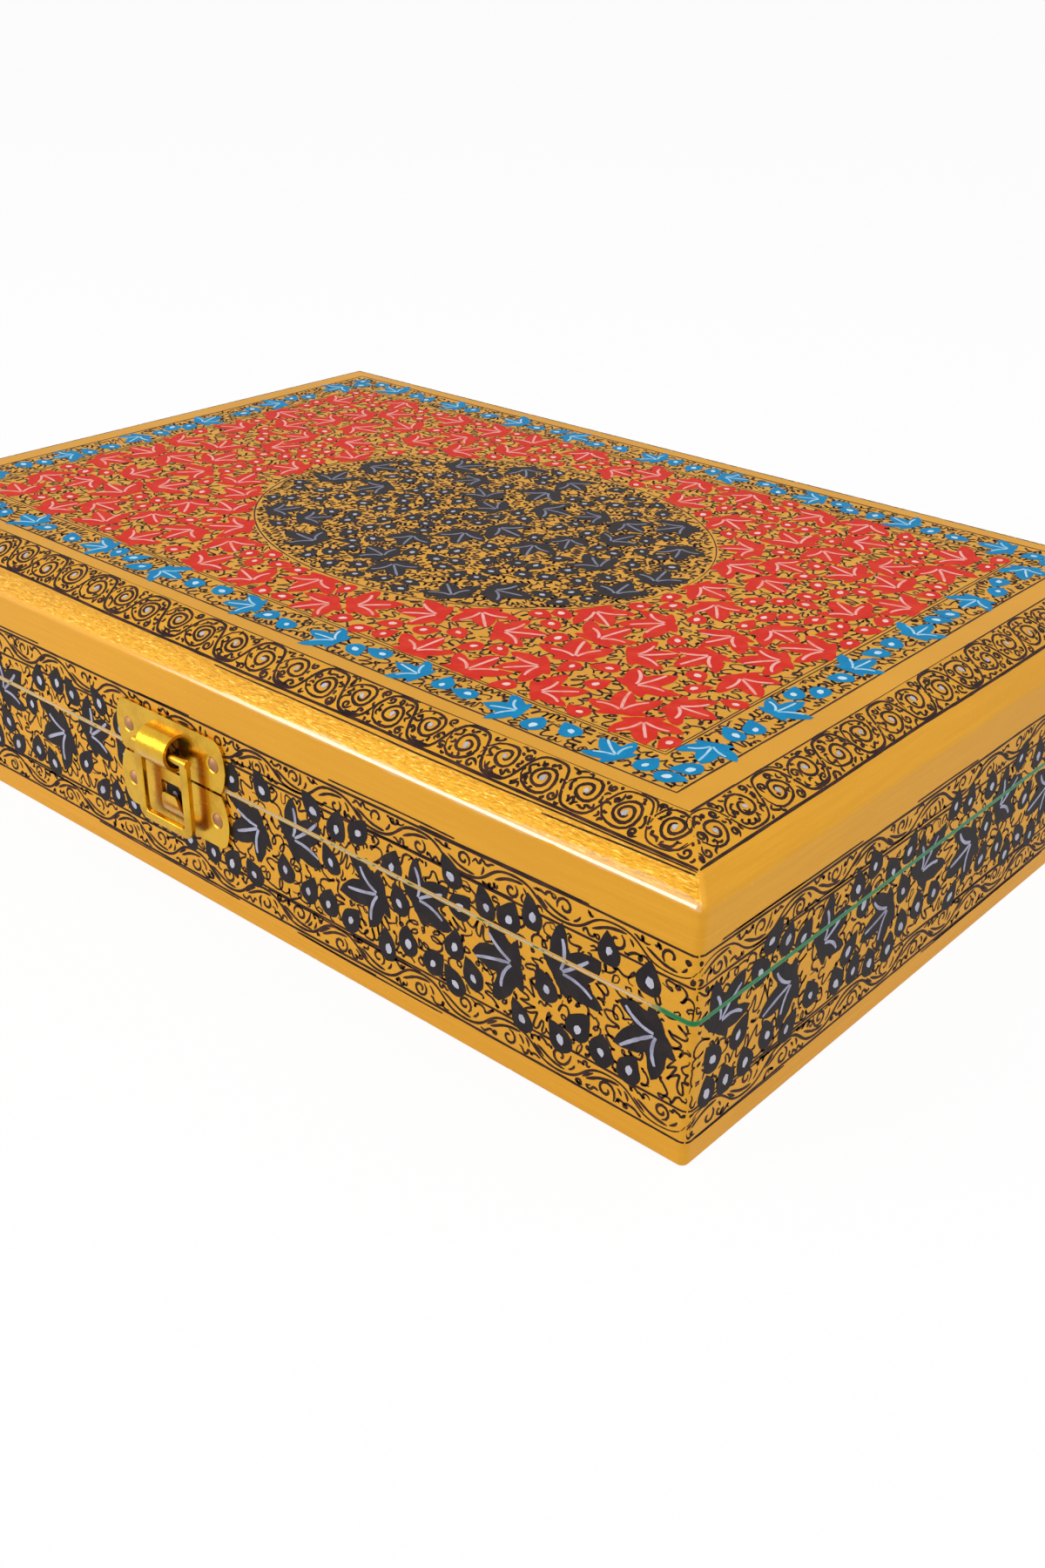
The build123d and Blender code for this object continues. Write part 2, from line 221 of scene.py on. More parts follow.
print("mid grey in linear light:", round(linear(128, 128, 128)[0], 3))

# %% [markdown]
# Such a box is usually shown on white card under softboxes. The floor is a big pale sheet. The camera should see it as
# white without more light on the box, so part of its shader is a plain white glow that only camera, glossy and
# transmission rays see. The rest is ordinary diffuse, which keeps the shadow. The world is split in the same way.

# %% Floor and world
floor_glow, world_light = 0.94, 0.51


def mix_where_seen(recipe, strength, shaded, shining, end):
    """Lets the shining shader show, at a strength, to camera, glossy and transmission rays only."""
    rays = recipe.node("ShaderNodeLightPath", {}, {}).outputs
    seen = Value(recipe, rays["Is Camera Ray"])
    for name in ("Is Glossy Ray", "Is Transmission Ray"):
        seen = seen.maths("MAXIMUM", seen, rays[name])
    share = seen if strength == 1 else seen * strength
    mix = recipe.node("ShaderNodeMixShader", {}, {0: share, 1: shaded.outputs[0], 2: shining.outputs[0]})
    recipe.node(end, {}, {"Surface": mix.outputs[0]})


def empty_recipe(owner):
    owner.use_nodes = True
    owner.node_tree.nodes.clear()
    return Recipe(owner.node_tree)


bpy.ops.object.select_all(action="DESELECT")
bpy.ops.mesh.primitive_plane_add(size=14, location=(0, 0, 0))
floor = bpy.context.object
floor.name = "white_card"
bpy.ops.object.mode_set(mode="EDIT")
bpy.ops.mesh.subdivide(number_cuts=6)
bpy.ops.object.mode_set(mode="OBJECT")
floor.data.materials.append(bpy.data.materials.new("white_card"))
card = empty_recipe(floor.data.materials[0])
paper = card.node("ShaderNodeBsdfDiffuse", {}, {"Color": (0.93, 0.93, 0.93, 1)})
mix_where_seen(card, floor_glow, paper, card.node("ShaderNodeEmission", {}, {}), "ShaderNodeOutputMaterial")

scene.world = bpy.data.worlds.new("studio")
sky = empty_recipe(scene.world)
fill, white = (
    sky.node("ShaderNodeBackground", {}, {"Color": (1, 1, 1, 1), "Strength": strength})
    for strength in (world_light, 1.0)
)
mix_where_seen(sky, 1, fill, white, "ShaderNodeOutputWorld")
scene.view_settings.view_transform = "Standard"
print("floor", floor.dimensions[0], "m across, world light", world_light)

# %% [markdown]
# Two softboxes do the lighting. The first stands parallel to the front, to the left. A mirror sends the look of a lamp
# back at the angle at which it comes in, so its place follows from the camera: the lid's rounded edge, where its
# surface leans up by 20 to 40 degrees, mirrors it as one long white streak. The other softbox hangs over the right
# side, so that the top and that side show their colours and the box casts a soft shadow.

# %% Softboxes
def softbox(name, place, aim, size, watts):
    bpy.ops.object.light_add(type="AREA", location=place)
    lamp = bpy.context.object
    lamp.name = name
    lamp.data.shape = "RECTANGLE"
    lamp.data.size, lamp.data.size_y = size
    lamp.data.energy = watts
    lamp.rotation_mode = "QUATERNION"
    lamp.rotation_quaternion = (Vector(aim) - Vector(place)).to_track_quat("-Z", "Y")
    print(name, "gives", watts, "W")


softbox("front_softbox", place=(-0.62, -0.895, 0.448), aim=(-0.54, 0.01, 0.128), size=(0.72, 0.68), watts=6.6)
softbox("top_softbox", place=(0.72, -0.12, 1.10), aim=(0, 0, 0), size=(1.1, 1.1), watts=8)

# %% [markdown]
# ## Gold ground
# The whole box is brushed with gold paint before any ornament goes on. Its look has three layers of detail: short
# faint brush streaks, a cloudy change of colour where the coat is thicker or thinner, and a fine grain of flakes.
# Streaks come from a noise that is squeezed along Z, so they follow the long way of every side. Along the lid's front
# edge hands have rubbed the varnish smooth, most of all near the right corner, and just above it the thick coat has
# dried into fine glittering wrinkles. On the front their colour also holds painted shade, darker in the hollows, and
# painted highlights, pale gold on the crests. Both zones are masks on the height and on the place, and the varnish
# itself is the shader's coat. Small chips along the foot show the white gesso.

# %% Gold lacquer
def gold_lacquer():
    gold = Finish("gold_lacquer", Coat_Roughness=0.06, Coat_IOR=2.2, Specular_IOR_Level=0.14)
    streaks = gold.noise(62.0, 3.0, 0.6, gold.stretched(0.7, 0.7, 24.0))
    clouds = gold.noise(15.0, 3.0, 0.55)
    grain = gold.noise(1600.0)
    wrinkles = gold.noise(2300.0, 4.0, 0.62, gold.stretched(0.22, 1.0, 1.0), 0.6)
    height, across = gold.along("Z"), gold.along("X")
    from_end = half_length * mm - across.maths("ABSOLUTE", across, 0.0)
    front = gold.between(from_end - gold.along("Y") - half_width * mm, 0.0, 0.8 * mm)
    near_corner = gold.between(across, (half_length - 70) * mm, (half_length - 6) * mm)
    uneven = height + gold.noise(300.0, 3.0, 0.6, gold.stretched(0.3, 1.0, 1.0)) * 2.0 * mm
    rubbed = gold.between(uneven, (arris + 0.6) * mm, (arris + 0.8) * mm)
    rubbed = rubbed - gold.between(uneven - near_corner * 0.7 * mm, (arris + 1.7) * mm, (arris + 1.9) * mm)
    rubbed = rubbed * front * (0.2 + gold.between(across, -20 * mm, 70 * mm) * 0.8)
    foot, head = ((arris + 0.3) * mm, (arris + 1.1) * mm), ((arris + 3.3) * mm, (arris + 5.0) * mm)
    cracked = gold.band(height, foot, head) * front
    # Painted shade in the hollows of the wrinkles and painted highlights on their crests, on the front only.
    wrinkle_shade = gold.between(wrinkles, 0.5, 0.36) * cracked
    wrinkle_highlights = gold.between(wrinkles, 0.54, 0.68) * cracked
    chips = gold.noise(520.0, 3.0, 0.6) + gold.noise(60.0) * 0.6
    chipped = gold.between(chips, 0.94, 0.98) * gold.between(height, 1.1 * mm, 0.5 * mm)
    ground = gold.blend(linear(221, 158, 40), linear(205, 141, 28), gold.between(streaks, 0.34, 0.66) * 0.36)
    for tone, share in (
        (linear(212, 152, 46), gold.between(clouds, 0.38, 0.7) * 0.6),
        (linear(232, 180, 72), gold.between(grain, 0.62, 0.78) * 0.35),
        (linear(158, 104, 18), wrinkle_shade * 0.5),
        (linear(250, 214, 112), wrinkle_highlights * 0.7),
        (linear(216, 208, 194), chipped),
    ):
        ground = gold.blend(ground, tone, share)
    gold.put("Base Color", ground)
    gold.put("Metallic", 0.22 + cracked * 0.4)
    gold.put("Roughness", 0.46 + clouds * 0.12 - cracked * 0.18)
    gold.put("Coat Weight", 0.02 + rubbed * 0.98)
    gold.relief(streaks * 0.14 + grain * 0.1 + wrinkles * (0.1 + cracked * 1.3), 0.00016)
    return gold


walls = [f"{body}_{side}_wall" for body in ("base", "lid") for side in ("front", "back", "left", "right")]
mouldings = [f"lid_{side}_moulding" for side in ("front", "back", "left", "right")]
gold_lacquer().dress(*walls, *mouldings, "lid_top_panel")
print("gold ground on", len(walls) + len(mouldings) + 1, "boards")

# %% [markdown]
# The underside shows the pasted board through a thin dark wash. Paper pulp has no grain direction, so its mottle is
# an even noise in two sizes, and long torn fibres are a second noise that is drawn out along X.

# %% Washed board underneath
board = Finish("board_underside", Coat_Weight=0.1, Coat_Roughness=0.4)
pulp = board.noise(240.0, 4.0, 0.65)
fibres = board.noise(700.0, 3.0, 0.6, board.stretched(0.12, 1.0, 1.0))
washed = board.blend(linear(92, 58, 36), linear(58, 36, 24), board.between(pulp, 0.35, 0.65))
board.put("Base Color", board.blend(washed, linear(128, 92, 62), board.between(fibres, 0.6, 0.72) * 0.6))
board.put("Roughness", 0.62 + pulp * 0.25)
board.relief(pulp * 0.6 + fibres * 0.4, 0.0002)
board.dress("base_floor")
print("board finish on base_floor")

# %% [markdown]
# A strip of emerald paint runs round both rims. It is the part that rubs each time the lid shuts. On the front, where
# the fingers lift the lid, it has been touched over with the gold of the sides, and only a thin line along the joint is
# left green. That line has chipped down to the white gesso in places. One noise decides where it shows, a finer one
# breaks up the chips, and masks on X and Y keep all of this to the front.

# %% Green rims, chipped at the front
def rim_paint():
    rim = Finish("green_rim", Coat_Weight=0.1, Coat_Roughness=0.25, Specular_IOR_Level=0.3)
    front = 1 - rim.between(rim.along("Y"), (0.3 - half_width) * mm, (0.9 - half_width) * mm)
    front = front * (1 - rim.between(rim.along("X"), (half_length - 11) * mm, (half_length - 7) * mm))
    crumbs = rim.noise(1000.0, 3.0, 0.6, rim.stretched(0.55, 1.0, 1.0))
    height = rim.along("Z") / mm
    green_line = rim.band(height, (base_edge + 0.2, base_edge + 0.3), (lid_edge - 0.5, lid_edge - 0.4))
    green_line = green_line * rim.between(rim.noise(42.0, 3.0, 0.6, rim.stretched(1.0, 1.0, 0.4)), 0.56, 0.48)
    gilded = (1 - green_line) * front
    edge = rim.band(height, (base_edge + 0.3, base_edge + 0.4), (lid_edge - 0.54, lid_edge - 0.46))
    chipped = rim.between(crumbs + rim.noise(70.0) * 0.5, 0.56, 0.64) * edge * front
    emerald = rim.blend(linear(4, 104, 52), linear(14, 132, 72), crumbs)
    colour = rim.blend(emerald, linear(212, 154, 48), gilded)
    rim.put("Base Color", rim.blend(colour, linear(214, 206, 190), chipped))
    rim.put("Roughness", 0.4 + chipped * 0.4)
    rim.relief(crumbs * 0.5 - chipped * 0.8, 0.00012)
    rim.dress("base_rim_strip", "lid_rim_strip")


rim_paint()
print("rims painted")

# %% [markdown]
# ## Brass and nails
# The latch is stamped from thin brass sheet and then tumbled bright, so it is nearly a mirror, with a few dull
# patches and fine scratches that cross. The hinges are the same sheet with less polish. The nails are coppered steel,
# darker and pitted. All three are full metals, so the differences lie in colour, roughness and bump.

# %% Metals
def metal(name, bright, dull, polish, pitting, nodes):
    finish = Finish(name, Metallic=1.0)
    patina = finish.noise(130.0, 4.0, 0.6)
    scratches = finish.noise(2600.0, vector=finish.stretched(0.06, 1.0, 1.0))
    crossing = finish.noise(2200.0, vector=finish.stretched(1.0, 1.0, 0.07))
    pits = finish.noise(1100.0, 3.0, 0.6)
    worn = finish.between(patina, 0.38, 0.68)
    finish.put("Base Color", finish.blend(linear(*bright), linear(*dull), worn * 0.8))
    finish.put("Roughness", polish + worn * 0.12 + finish.between(scratches, 0.6, 0.75) * 0.12)
    finish.relief(scratches * 0.3 + crossing * 0.3 + pits * pitting, 0.00005)
    finish.dress(*nodes)
    print(name, "on", len(nodes), "pieces")


latch_nodes = ("latch_upper_plate", "latch_lower_plate", "latch_loop")
hinge_pieces = ("base_leaf", "lid_leaf", "pin")
hinge_nodes = [f"hinge_{side}_{piece}" for side in ("left", "right") for piece in hinge_pieces]
nail_nodes = ("latch_upper_nails", "latch_lower_nails", "hinge_base_nails", "hinge_lid_nails")
metal("latch_brass", (218, 170, 46), (188, 139, 34), polish=0.2, pitting=0.6, nodes=latch_nodes)
metal("hinge_brass", (232, 190, 84), (176, 130, 48), polish=0.22, pitting=1.0, nodes=hinge_nodes)
metal("nail_steel", (168, 122, 84), (112, 76, 50), polish=0.5, pitting=2.4, nodes=nail_nodes)

# %% [markdown]
# ## Painted ornament
# The ornament has several thousand brush and pen marks. They could be a texture, but a procedural one can't draw a
# chinar leaf, and a picture isn't used here. So each mark is a thin film of real geometry that lies a few hundredths
# of a millimetre above the gold. That keeps every edge crisp from any distance.
# A leaf is modelled once, as by hand, and then stamped many times with small changes. It starts as a filled circle
# round the point where its veins meet. Each point of the rim is then pushed out to a lobe or drawn in to a notch.

# %% Model the leaf, the bud and the dot
leaf_reach = (
    *(12.2, 10.8, 9.4, 7.9, 6.3, 6.8, 9.2, 11.2, 10.2, 8.6, 7.2, 5.5, 4.8),
    *(5.6, 6.2, 5.2, 4.2, 3.5, 3.3, 2.8, 2.5, 2.3, 2.1, 2.0, 2.0),
)
bud_reach = (4.5, 3.6, 3.05, 2.8, 2.75, 2.75, 2.75, 2.75, 2.7, 2.6, 2.6)
dot_reach = (1.0, 0.8, 0.62, 0.62, 0.8)


def model_stamp(name, reaches):
    """A flat shape whose half outline is given by reaches, from its tip round to its stem, in millimetres."""
    bpy.ops.object.select_all(action="DESELECT")
    bpy.ops.mesh.primitive_circle_add(vertices=2 * (len(reaches) - 1), radius=1.0, fill_type="NGON")
    stamp = bpy.context.object
    stamp.name = name
    for index in range(len(stamp.data.vertices)):
        place = stamp.data.vertices[index].co
        turn = abs(math.atan2(place.y, place.x)) / math.pi
        reach = reaches[round(turn * (len(reaches) - 1))]
        bpy.ops.object.mode_set(mode="EDIT")
        bpy.ops.mesh.select_mode(type="VERT")
        bpy.ops.mesh.select_all(action="DESELECT")
        bpy.ops.object.mode_set(mode="OBJECT")
        stamp.data.vertices[index].select = True
        bpy.ops.object.mode_set(mode="EDIT")
        bpy.ops.transform.resize(value=(reach, reach, reach), center_override=(0, 0, 0))
        bpy.ops.object.mode_set(mode="OBJECT")
    outline = np.array([stamp.data.vertices[corner].co[:2] for corner in stamp.data.polygons[0].vertices])
    bpy.data.objects.remove(stamp)
    print(name, "has", len(outline), "points")
    return outline


leaf_stamp = model_stamp("leaf_stamp", leaf_reach)
bud_stamp = model_stamp("bud_stamp", bud_reach)
dot_stamp = model_stamp("dot_stamp", dot_reach)

# %% [markdown]
# A painter fills what is bare until nothing is left, and never paints over a leaf. To do the same, the layout keeps a
# mat: a grid of small cells that are marked once something covers them. All chance comes from one seeded generator,
# so the box is painted alike on each run.

# %% The mat
chance = np.random.default_rng(11)
whole_turn = 6.28


def turned(points, angle):
    """Points turned about the origin."""
    cosine, sine = math.cos(angle), math.sin(angle)
    return points @ np.array([[cosine, sine], [-sine, cosine]])


def polar(reach, angle):
    """Points at a reach and an angle from the origin."""
    return np.stack([reach * np.cos(angle), reach * np.sin(angle)], 1)


class Mat:
    cell = 0.25

    def __init__(self, low, high):
        self.low = np.array(low, float)
        self.shape = np.ceil((np.array(high) - self.low) / self.cell).astype(int)
        self.taken = np.zeros(self.shape, bool)
        x, y = np.meshgrid(*[np.arange(n) + 0.5 for n in self.shape], indexing="ij")
        self.x, self.y = self.low[0] + x * self.cell, self.low[1] + y * self.cell

    def cells(self, points):
        return np.floor((points - self.low) / self.cell).astype(int)

    def on(self, at):
        """For each cell, True if it lies on the mat."""
        return ((at >= 0) & (at < self.shape)).all(-1)

    def bare(self, points):
        """For each point, True if it lies on the mat and nothing covers it."""
        at = self.cells(points)
        near = np.clip(at, 0, self.shape - 1)
        return self.on(at) & ~self.taken[near[..., 0], near[..., 1]]

    def close(self, rule):
        self.taken |= rule

    def close_edges(self, low, high):
        """Cover what lies below low and above high."""
        self.close((self.y < low) | (self.y > high))

    def cover_line(self, points, margin):
        reach = int(margin / self.cell) + 1
        near = np.arange(-reach, reach + 1)
        disc = np.stack(np.meshgrid(near, near, indexing="ij"), -1).reshape(-1, 2)
        disc = disc[np.hypot(*disc.T) * self.cell <= margin]
        at = (self.cells(points)[:, None] + disc[None]).reshape(-1, 2)
        self.taken[tuple(at[self.on(at)].T)] = True

    def inside(self, outline, centre, margin):
        """A window of the mat, and the cells in it within an outline that is star-shaped about centre."""
        reach = np.hypot(*outline.T).max() + margin
        low = np.clip(self.cells(np.array(centre) - reach), 0, self.shape)
        high = np.clip(self.cells(np.array(centre) + reach) + 1, 0, self.shape)
        window = slice(low[0], high[0]), slice(low[1], high[1])
        x, y = self.x[window] - centre[0], self.y[window] - centre[1]
        angles = np.arctan2(outline[:, 1], outline[:, 0])
        order = np.argsort(angles)
        limit = np.interp(np.arctan2(y, x), angles[order], np.hypot(*outline[order].T), period=2 * math.pi)
        return window, np.hypot(x, y) < limit + margin

    def has_room(self, outline, centre, margin):
        at = self.cells(outline + centre)
        if self.taken[tuple(at[self.on(at)].T)].any():
            return False
        window, covered = self.inside(outline, centre, margin)
        whole = self.on(self.cells(np.array(centre) + [[-1], [1]])).all()
        return whole and not (self.taken[window] & covered).any()

    def crowding(self, outline, centre, margin):
        """How much of an outline and the margin round it is covered already, from 0 to 1."""
        window, near = self.inside(outline, centre, margin)
        return self.taken[window][near].mean()

    def cover_shape(self, outline, centre, margin):
        window, covered = self.inside(outline, centre, margin)
        self.taken[window] |= covered

    def pick(self, free, count):
        """Random places in the cells that free lists."""
        picked = free[chance.integers(0, len(free), count)]
        return self.low + (picked + chance.random((count, 2))) * self.cell

    def bare_points(self, count):
        free = np.argwhere(~self.taken)
        return self.pick(free, count) if len(free) else np.zeros((0, 2))


print("a side's mat has", Mat((-half_length, 0), (half_length, arris)).taken.size, "cells")

# %% [markdown]
# A film gathers the flat marks of one colour. A mark is either a stamped outline or a stroke, which is a ribbon of
# quads that follows a line, swells a little with the ink and tapers at its ends as a pen does. A sketched line is
# drawn only where the mat is bare, so it looks as if it passed underneath what is there already.

# %% The film
class Film:
    def __init__(self):
        self.points = []
        self.faces = []
        self.count = 0

    def add(self, points, faces):
        self.points.append(points)
        self.faces.extend([[self.count + corner for corner in face] for face in faces])
        self.count += len(points)

    def shape(self, outline, centre=(0, 0)):
        self.add(outline + np.array(centre), [range(len(outline))])

    def stroke(self, line, pen, taper=0.35):
        """A ribbon along line. Its width is pen in the middle and taper of that at both ends."""
        ahead = np.gradient(line, axis=0)
        ahead /= np.maximum(np.hypot(*ahead.T), 1e-9)[:, None]
        across = np.stack([-ahead[:, 1], ahead[:, 0]], 1)
        along = np.linspace(-1, 1, len(line))
        width = pen / 2 * (1 - (1 - taper) * along**6)
        width = width * chance.uniform(0.86, 1.14, len(line))
        pairs = np.stack([line + across * width[:, None], line - across * width[:, None]], 1).reshape(-1, 2)
        self.add(pairs, [(2 * i + 1, 2 * i + 3, 2 * i + 2, 2 * i) for i in range(len(line) - 1)])


def sketch(mat, film, line, pen, air):
    """Draw the stretches of a line that lie on bare mat."""
    bare = mat.bare(line)
    turns = np.flatnonzero(np.diff(np.concatenate([[0], bare.astype(int), [0]])))
    for start, end in zip(turns[::2], turns[1::2]):
        if end - start > 3:
            film.stroke(line[start:end], pen)
    mat.cover_line(line[bare], pen / 2 + air)


# %% [markdown]
# The ground between the leaves is filled with a fine nib. Most of it is one kind of mark: a squiggle that wanders on
# between the leaves until it is hemmed in. It is made by a walker. At each step it feels ahead on the mat and turns
# where the way is blocked, and it notes how much room there is to its left and right. These notes are smoothed, and
# the pen line then swings to and fro across the trail as far as they allow, so the zigzags fill the gaps between the
# leaves as a hand would. Where the line is also pushed forth and back, its waves close into loops.

# %% Squiggles that find their way
stride = 0.5
turns_tried = (0.0, 0.5, -0.5, 1.0, -1.0, 1.6, -1.6, 2.2, -2.2)


def trail(mat, start, heading, reach, longest):
    """The middle line of one squiggle. A step holds its place, the direction across, and the room left and right."""
    rays = np.arange(0.4, reach, 0.2)
    place = start
    steps = []
    while len(steps) * stride < longest:
        for turn in turns_tried:
            ahead = np.array([math.cos(heading + turn), math.sin(heading + turn)])
            across = np.array([-ahead[1], ahead[0]])
            feelers = np.stack([ahead * 0.95, ahead * stride + across * 0.4, ahead * stride - across * 0.4])
            if mat.bare(place + feelers).all():
                break
        else:
            break
        heading += turn + chance.normal(0, 0.22)
        place = place + ahead * stride
        free = mat.bare(place + np.stack([rays, -rays])[..., None] * across)
        room = np.where(free.all(1), reach, rays[free.argmin(1)])
        steps.append((*place, *across, *np.maximum(room - 0.15, 0.25)))
        if len(steps) > 4:
            cover_step(mat, steps[-5])
    for step in steps[-4:]:
        cover_step(mat, step)
    return np.array(steps).reshape(-1, 6)


def cover_step(mat, step):
    """Cover the whole width that a squiggle takes up at one step."""
    place, across, left, right_side = np.array(step[:2]), np.array(step[2:4]), step[4], step[5]
    mat.cover_line(place + np.arange(-right_side, left + 0.01, 0.25)[:, None] * across, 0.35)


def squiggle(steps, pitch):
    """A pen line that swings across a trail as far as the room on each side lets it."""
    rooms = np.pad(steps[:, 4:], ((2, 2), (0, 0)), mode="edge")
    rooms = np.minimum(np.minimum(rooms[:-2], rooms[1:-1]), rooms[2:])
    rooms = (rooms[:-2] + rooms[1:-1] + rooms[2:]) / 3
    t = np.linspace(0, len(steps) - 1, int(len(steps) * stride / pitch * 12) + 5)
    columns = np.column_stack([steps[:, :4], rooms]).T
    x, y, across_x, across_y, left, right_side = (np.interp(t, range(len(steps)), column) for column in columns)
    phase = 2 * math.pi * t * stride / pitch + 1.1 * np.sin(t * 0.5 + chance.uniform(0, whole_turn))
    knots = np.arange(0, len(steps) + 4, 2)
    swing = np.cos(phase) * np.interp(t, knots, chance.uniform(0.68, 1.0, len(knots)))
    swing = swing * np.where(swing > 0, left, right_side)
    push = swing * chance.uniform(-0.45, 0.45) + pitch * chance.choice([0.0, 0.1, 0.22, 0.32]) * np.sin(phase)
    return np.stack([x + across_x * swing + across_y * push, y + across_y * swing - across_x * push], 1)


def wander(mat, film, pen, reach, pitches, starts, longest=14.0):
    """Squiggles that run both ways from random bare places. Returns how many came out long enough to draw."""
    drawn = 0
    for start in mat.bare_points(starts):
        if not mat.bare(start):
            continue
        heading = chance.uniform(0, 2 * math.pi)
        onward = trail(mat, start, heading, reach, longest)
        backward = trail(mat, start, heading + math.pi, reach, longest)[::-1, [0, 1, 2, 3, 5, 4]]
        steps = np.vstack([backward * (1, 1, -1, -1, 1, 1), onward])
        if len(steps) > 3:
            film.stroke(squiggle(steps, chance.uniform(*pitches)), pen)
            drawn += 1
    return drawn


print("squiggles ready, with a stride of", stride, "mm")

# %% [markdown]
# A few small figures go where a squiggle doesn't fit: hooks that curl in on themselves, and short ticks. A figure is
# drawn once and tried at forty places together, which numpy checks at a stroke, because trying them one by one would
# take minutes.

# %% Small pen figures
def curl(size, turns):
    """A hook that winds in from its outer end."""
    t = np.linspace(0, 1, int(turns * 10) + 3)
    tail = np.array([[size, -size * 1.1], [size * 1.06, -size * 0.5]])
    return np.vstack([tail, polar(size * (1 - 0.78 * t), 2 * math.pi * turns * t)])


def small_curl():
    return curl(chance.uniform(0.8, 1.3), chance.uniform(0.9, 1.5))


def small_tick():
    """A short bent stroke."""
    t = np.linspace(0, 1, 5)
    size = chance.uniform(0.9, 1.6)
    return np.stack([size * t, size * chance.uniform(0.15, 0.5) * np.sin(math.pi * t)], 1)


def doodle(mat, film, pen, draw, tries, air=0.4):
    """Small figures, which draw gives one at a time, wherever they fit on bare mat."""
    drawn, places_at_once, tries_per_look = 0, 40, 150
    for number in range(tries):
        if number % tries_per_look == 0:
            free = np.argwhere(~mat.taken)
        if not len(free):
            return drawn
        line = draw()
        line = turned(line - line.mean(0), chance.uniform(0, 2 * math.pi)) * (1, chance.choice((-1, 1)))
        places = mat.pick(free, places_at_once)
        fits = mat.bare(line + places[:, None]).all(1)
        for place in places[fits][:1]:
            film.stroke(line + place, pen)
            mat.cover_line(line + place, pen / 2 + air)
            drawn += 1
    return drawn


print("pen figures ready; a curl has", len(curl(2, 1.2)), "points")

# %% [markdown]
# Leaves and buds are painted before the pen work. A leaf gets its three pale veins, which start where the stem would
# be and run out into the three long lobes. A bud gets one drop of white. Both are stamped with a slow random swell of
# their outline, because a brush never draws the same leaf twice. They keep apart from each other, but on the mat they
# count as a little smaller than they are, so that the pen work later runs under their edges and leaves no halo.

# %% Leaves and buds
vein_pen = 0.82
vein_lengths = ((0, 9.4), (1.0, 7.6), (-1.0, 7.6))
joint_to_middle = 4.3
apart, tucked = 0.6, -0.4


class Coat:
    """The films that leaves and buds of one colour are painted on."""

    def __init__(self):
        self.leaves, self.veins, self.drops = Film(), Film(), Film()


def swollen(outline, amount):
    """An outline with slow random bulges."""
    angle = np.arctan2(outline[:, 1], outline[:, 0])
    swell = 1 + sum(
        amount / math.sqrt(waves) * np.sin(waves * angle + chance.uniform(0, whole_turn)) for waves in (1, 2, 3, 5)
    )
    return outline * swell[:, None]


def leaf_outline(centre, angle, scale):
    """The outline of a leaf whose middle lobe points along angle, and the joint of its veins. centre is the middle
    of the blade."""
    outline = swollen(leaf_stamp, 0.05) * (1, chance.choice((-1, 1))) * scale
    outline = turned(outline * chance.normal(1, 0.02, (len(outline), 1)), angle)
    return outline, np.array(centre) - np.array([math.cos(angle), math.sin(angle)]) * joint_to_middle * scale


def paint_leaf(coat, mat, outline, joint, angle, scale):
    """A leaf and its three veins."""
    coat.leaves.shape(outline, joint)
    mat.cover_shape(outline, joint, tucked)
    for lobe, length in vein_lengths:
        t = np.linspace(0, 1, 9)[:, None]
        heading = angle + lobe * (0.5 + 0.8 * t) + chance.uniform(-0.3, 0.3) * t
        step = length * scale * chance.uniform(0.86, 1.06) / 8
        line = np.cumsum(np.hstack([np.cos(heading), np.sin(heading)]) * step, axis=0)
        coat.veins.stroke(joint + line, vein_pen * scale, 0.7)


def paint_bud(coat, mat, centre, angle, scale, drop_scale):
    """A bud with a drop of white in it, if there is room for it. Its tip points along angle."""
    outline = turned(swollen(bud_stamp, 0.05) * scale * (1, chance.uniform(0.86, 1.0)), angle)
    if not mat.has_room(outline, centre, apart):
        return False
    coat.leaves.shape(outline, centre)
    mat.cover_shape(outline, centre, tucked)
    drop = swollen(dot_stamp, 0.09) * drop_scale * chance.uniform(0.85, 1.15)
    drop = turned(drop, angle + chance.uniform(-0.4, 0.4))
    coat.drops.shape(drop, np.array(centre) + chance.uniform(-0.25, 0.25, 2))
    return True


def scatter_buds(coat, mat, scale, drop_scale, wanted, tries, lean=math.pi):
    """Buds at random bare places. Their tips point up the drawing, up to lean to each side."""
    placed = 0
    for place in mat.bare_points(tries):
        angle = math.pi / 2 + chance.uniform(-lean, lean)
        placed += placed < wanted and paint_bud(coat, mat, place, angle, scale, drop_scale)
    return placed


print("leaves and buds ready")

# %% [markdown]
# ## The sides
# Each side carries one wide field of charcoal leaves between two narrow bands of scrolling vine, with plain gold above
# and below. The field runs across the joint of lid and base, as it was painted with the box shut. All four sides are
# laid out in one flat drawing: X runs round the box, a metre to a side, and Y is the height. Each line is ruled by
# hand, and stretches of it are drawn twice.

# %% Rule the sides
side_lines = (48.2, 41.4, 13.6, 6.4)
drawing_pitch = 1000.0
sides = [
    {"name": name, "half": half, "away": away, "out": out, "along": (-out[1], out[0])}
    for name, half, away, out in (
        ("front", half_length, half_width, (0, -1)),
        ("right", half_width, half_length, (1, 0)),
        ("back", half_length, half_width, (0, 1)),
        ("left", half_width, half_length, (-1, 0)),
    )
]


def measured(start, end):
    """Both ends of a straight line as arrays, its length, and the direction across it."""
    start, end = np.array(start, float), np.array(end, float)
    length = np.hypot(*(end - start))
    return start, end, length, np.array([start[1] - end[1], end[0] - start[0]]) / length


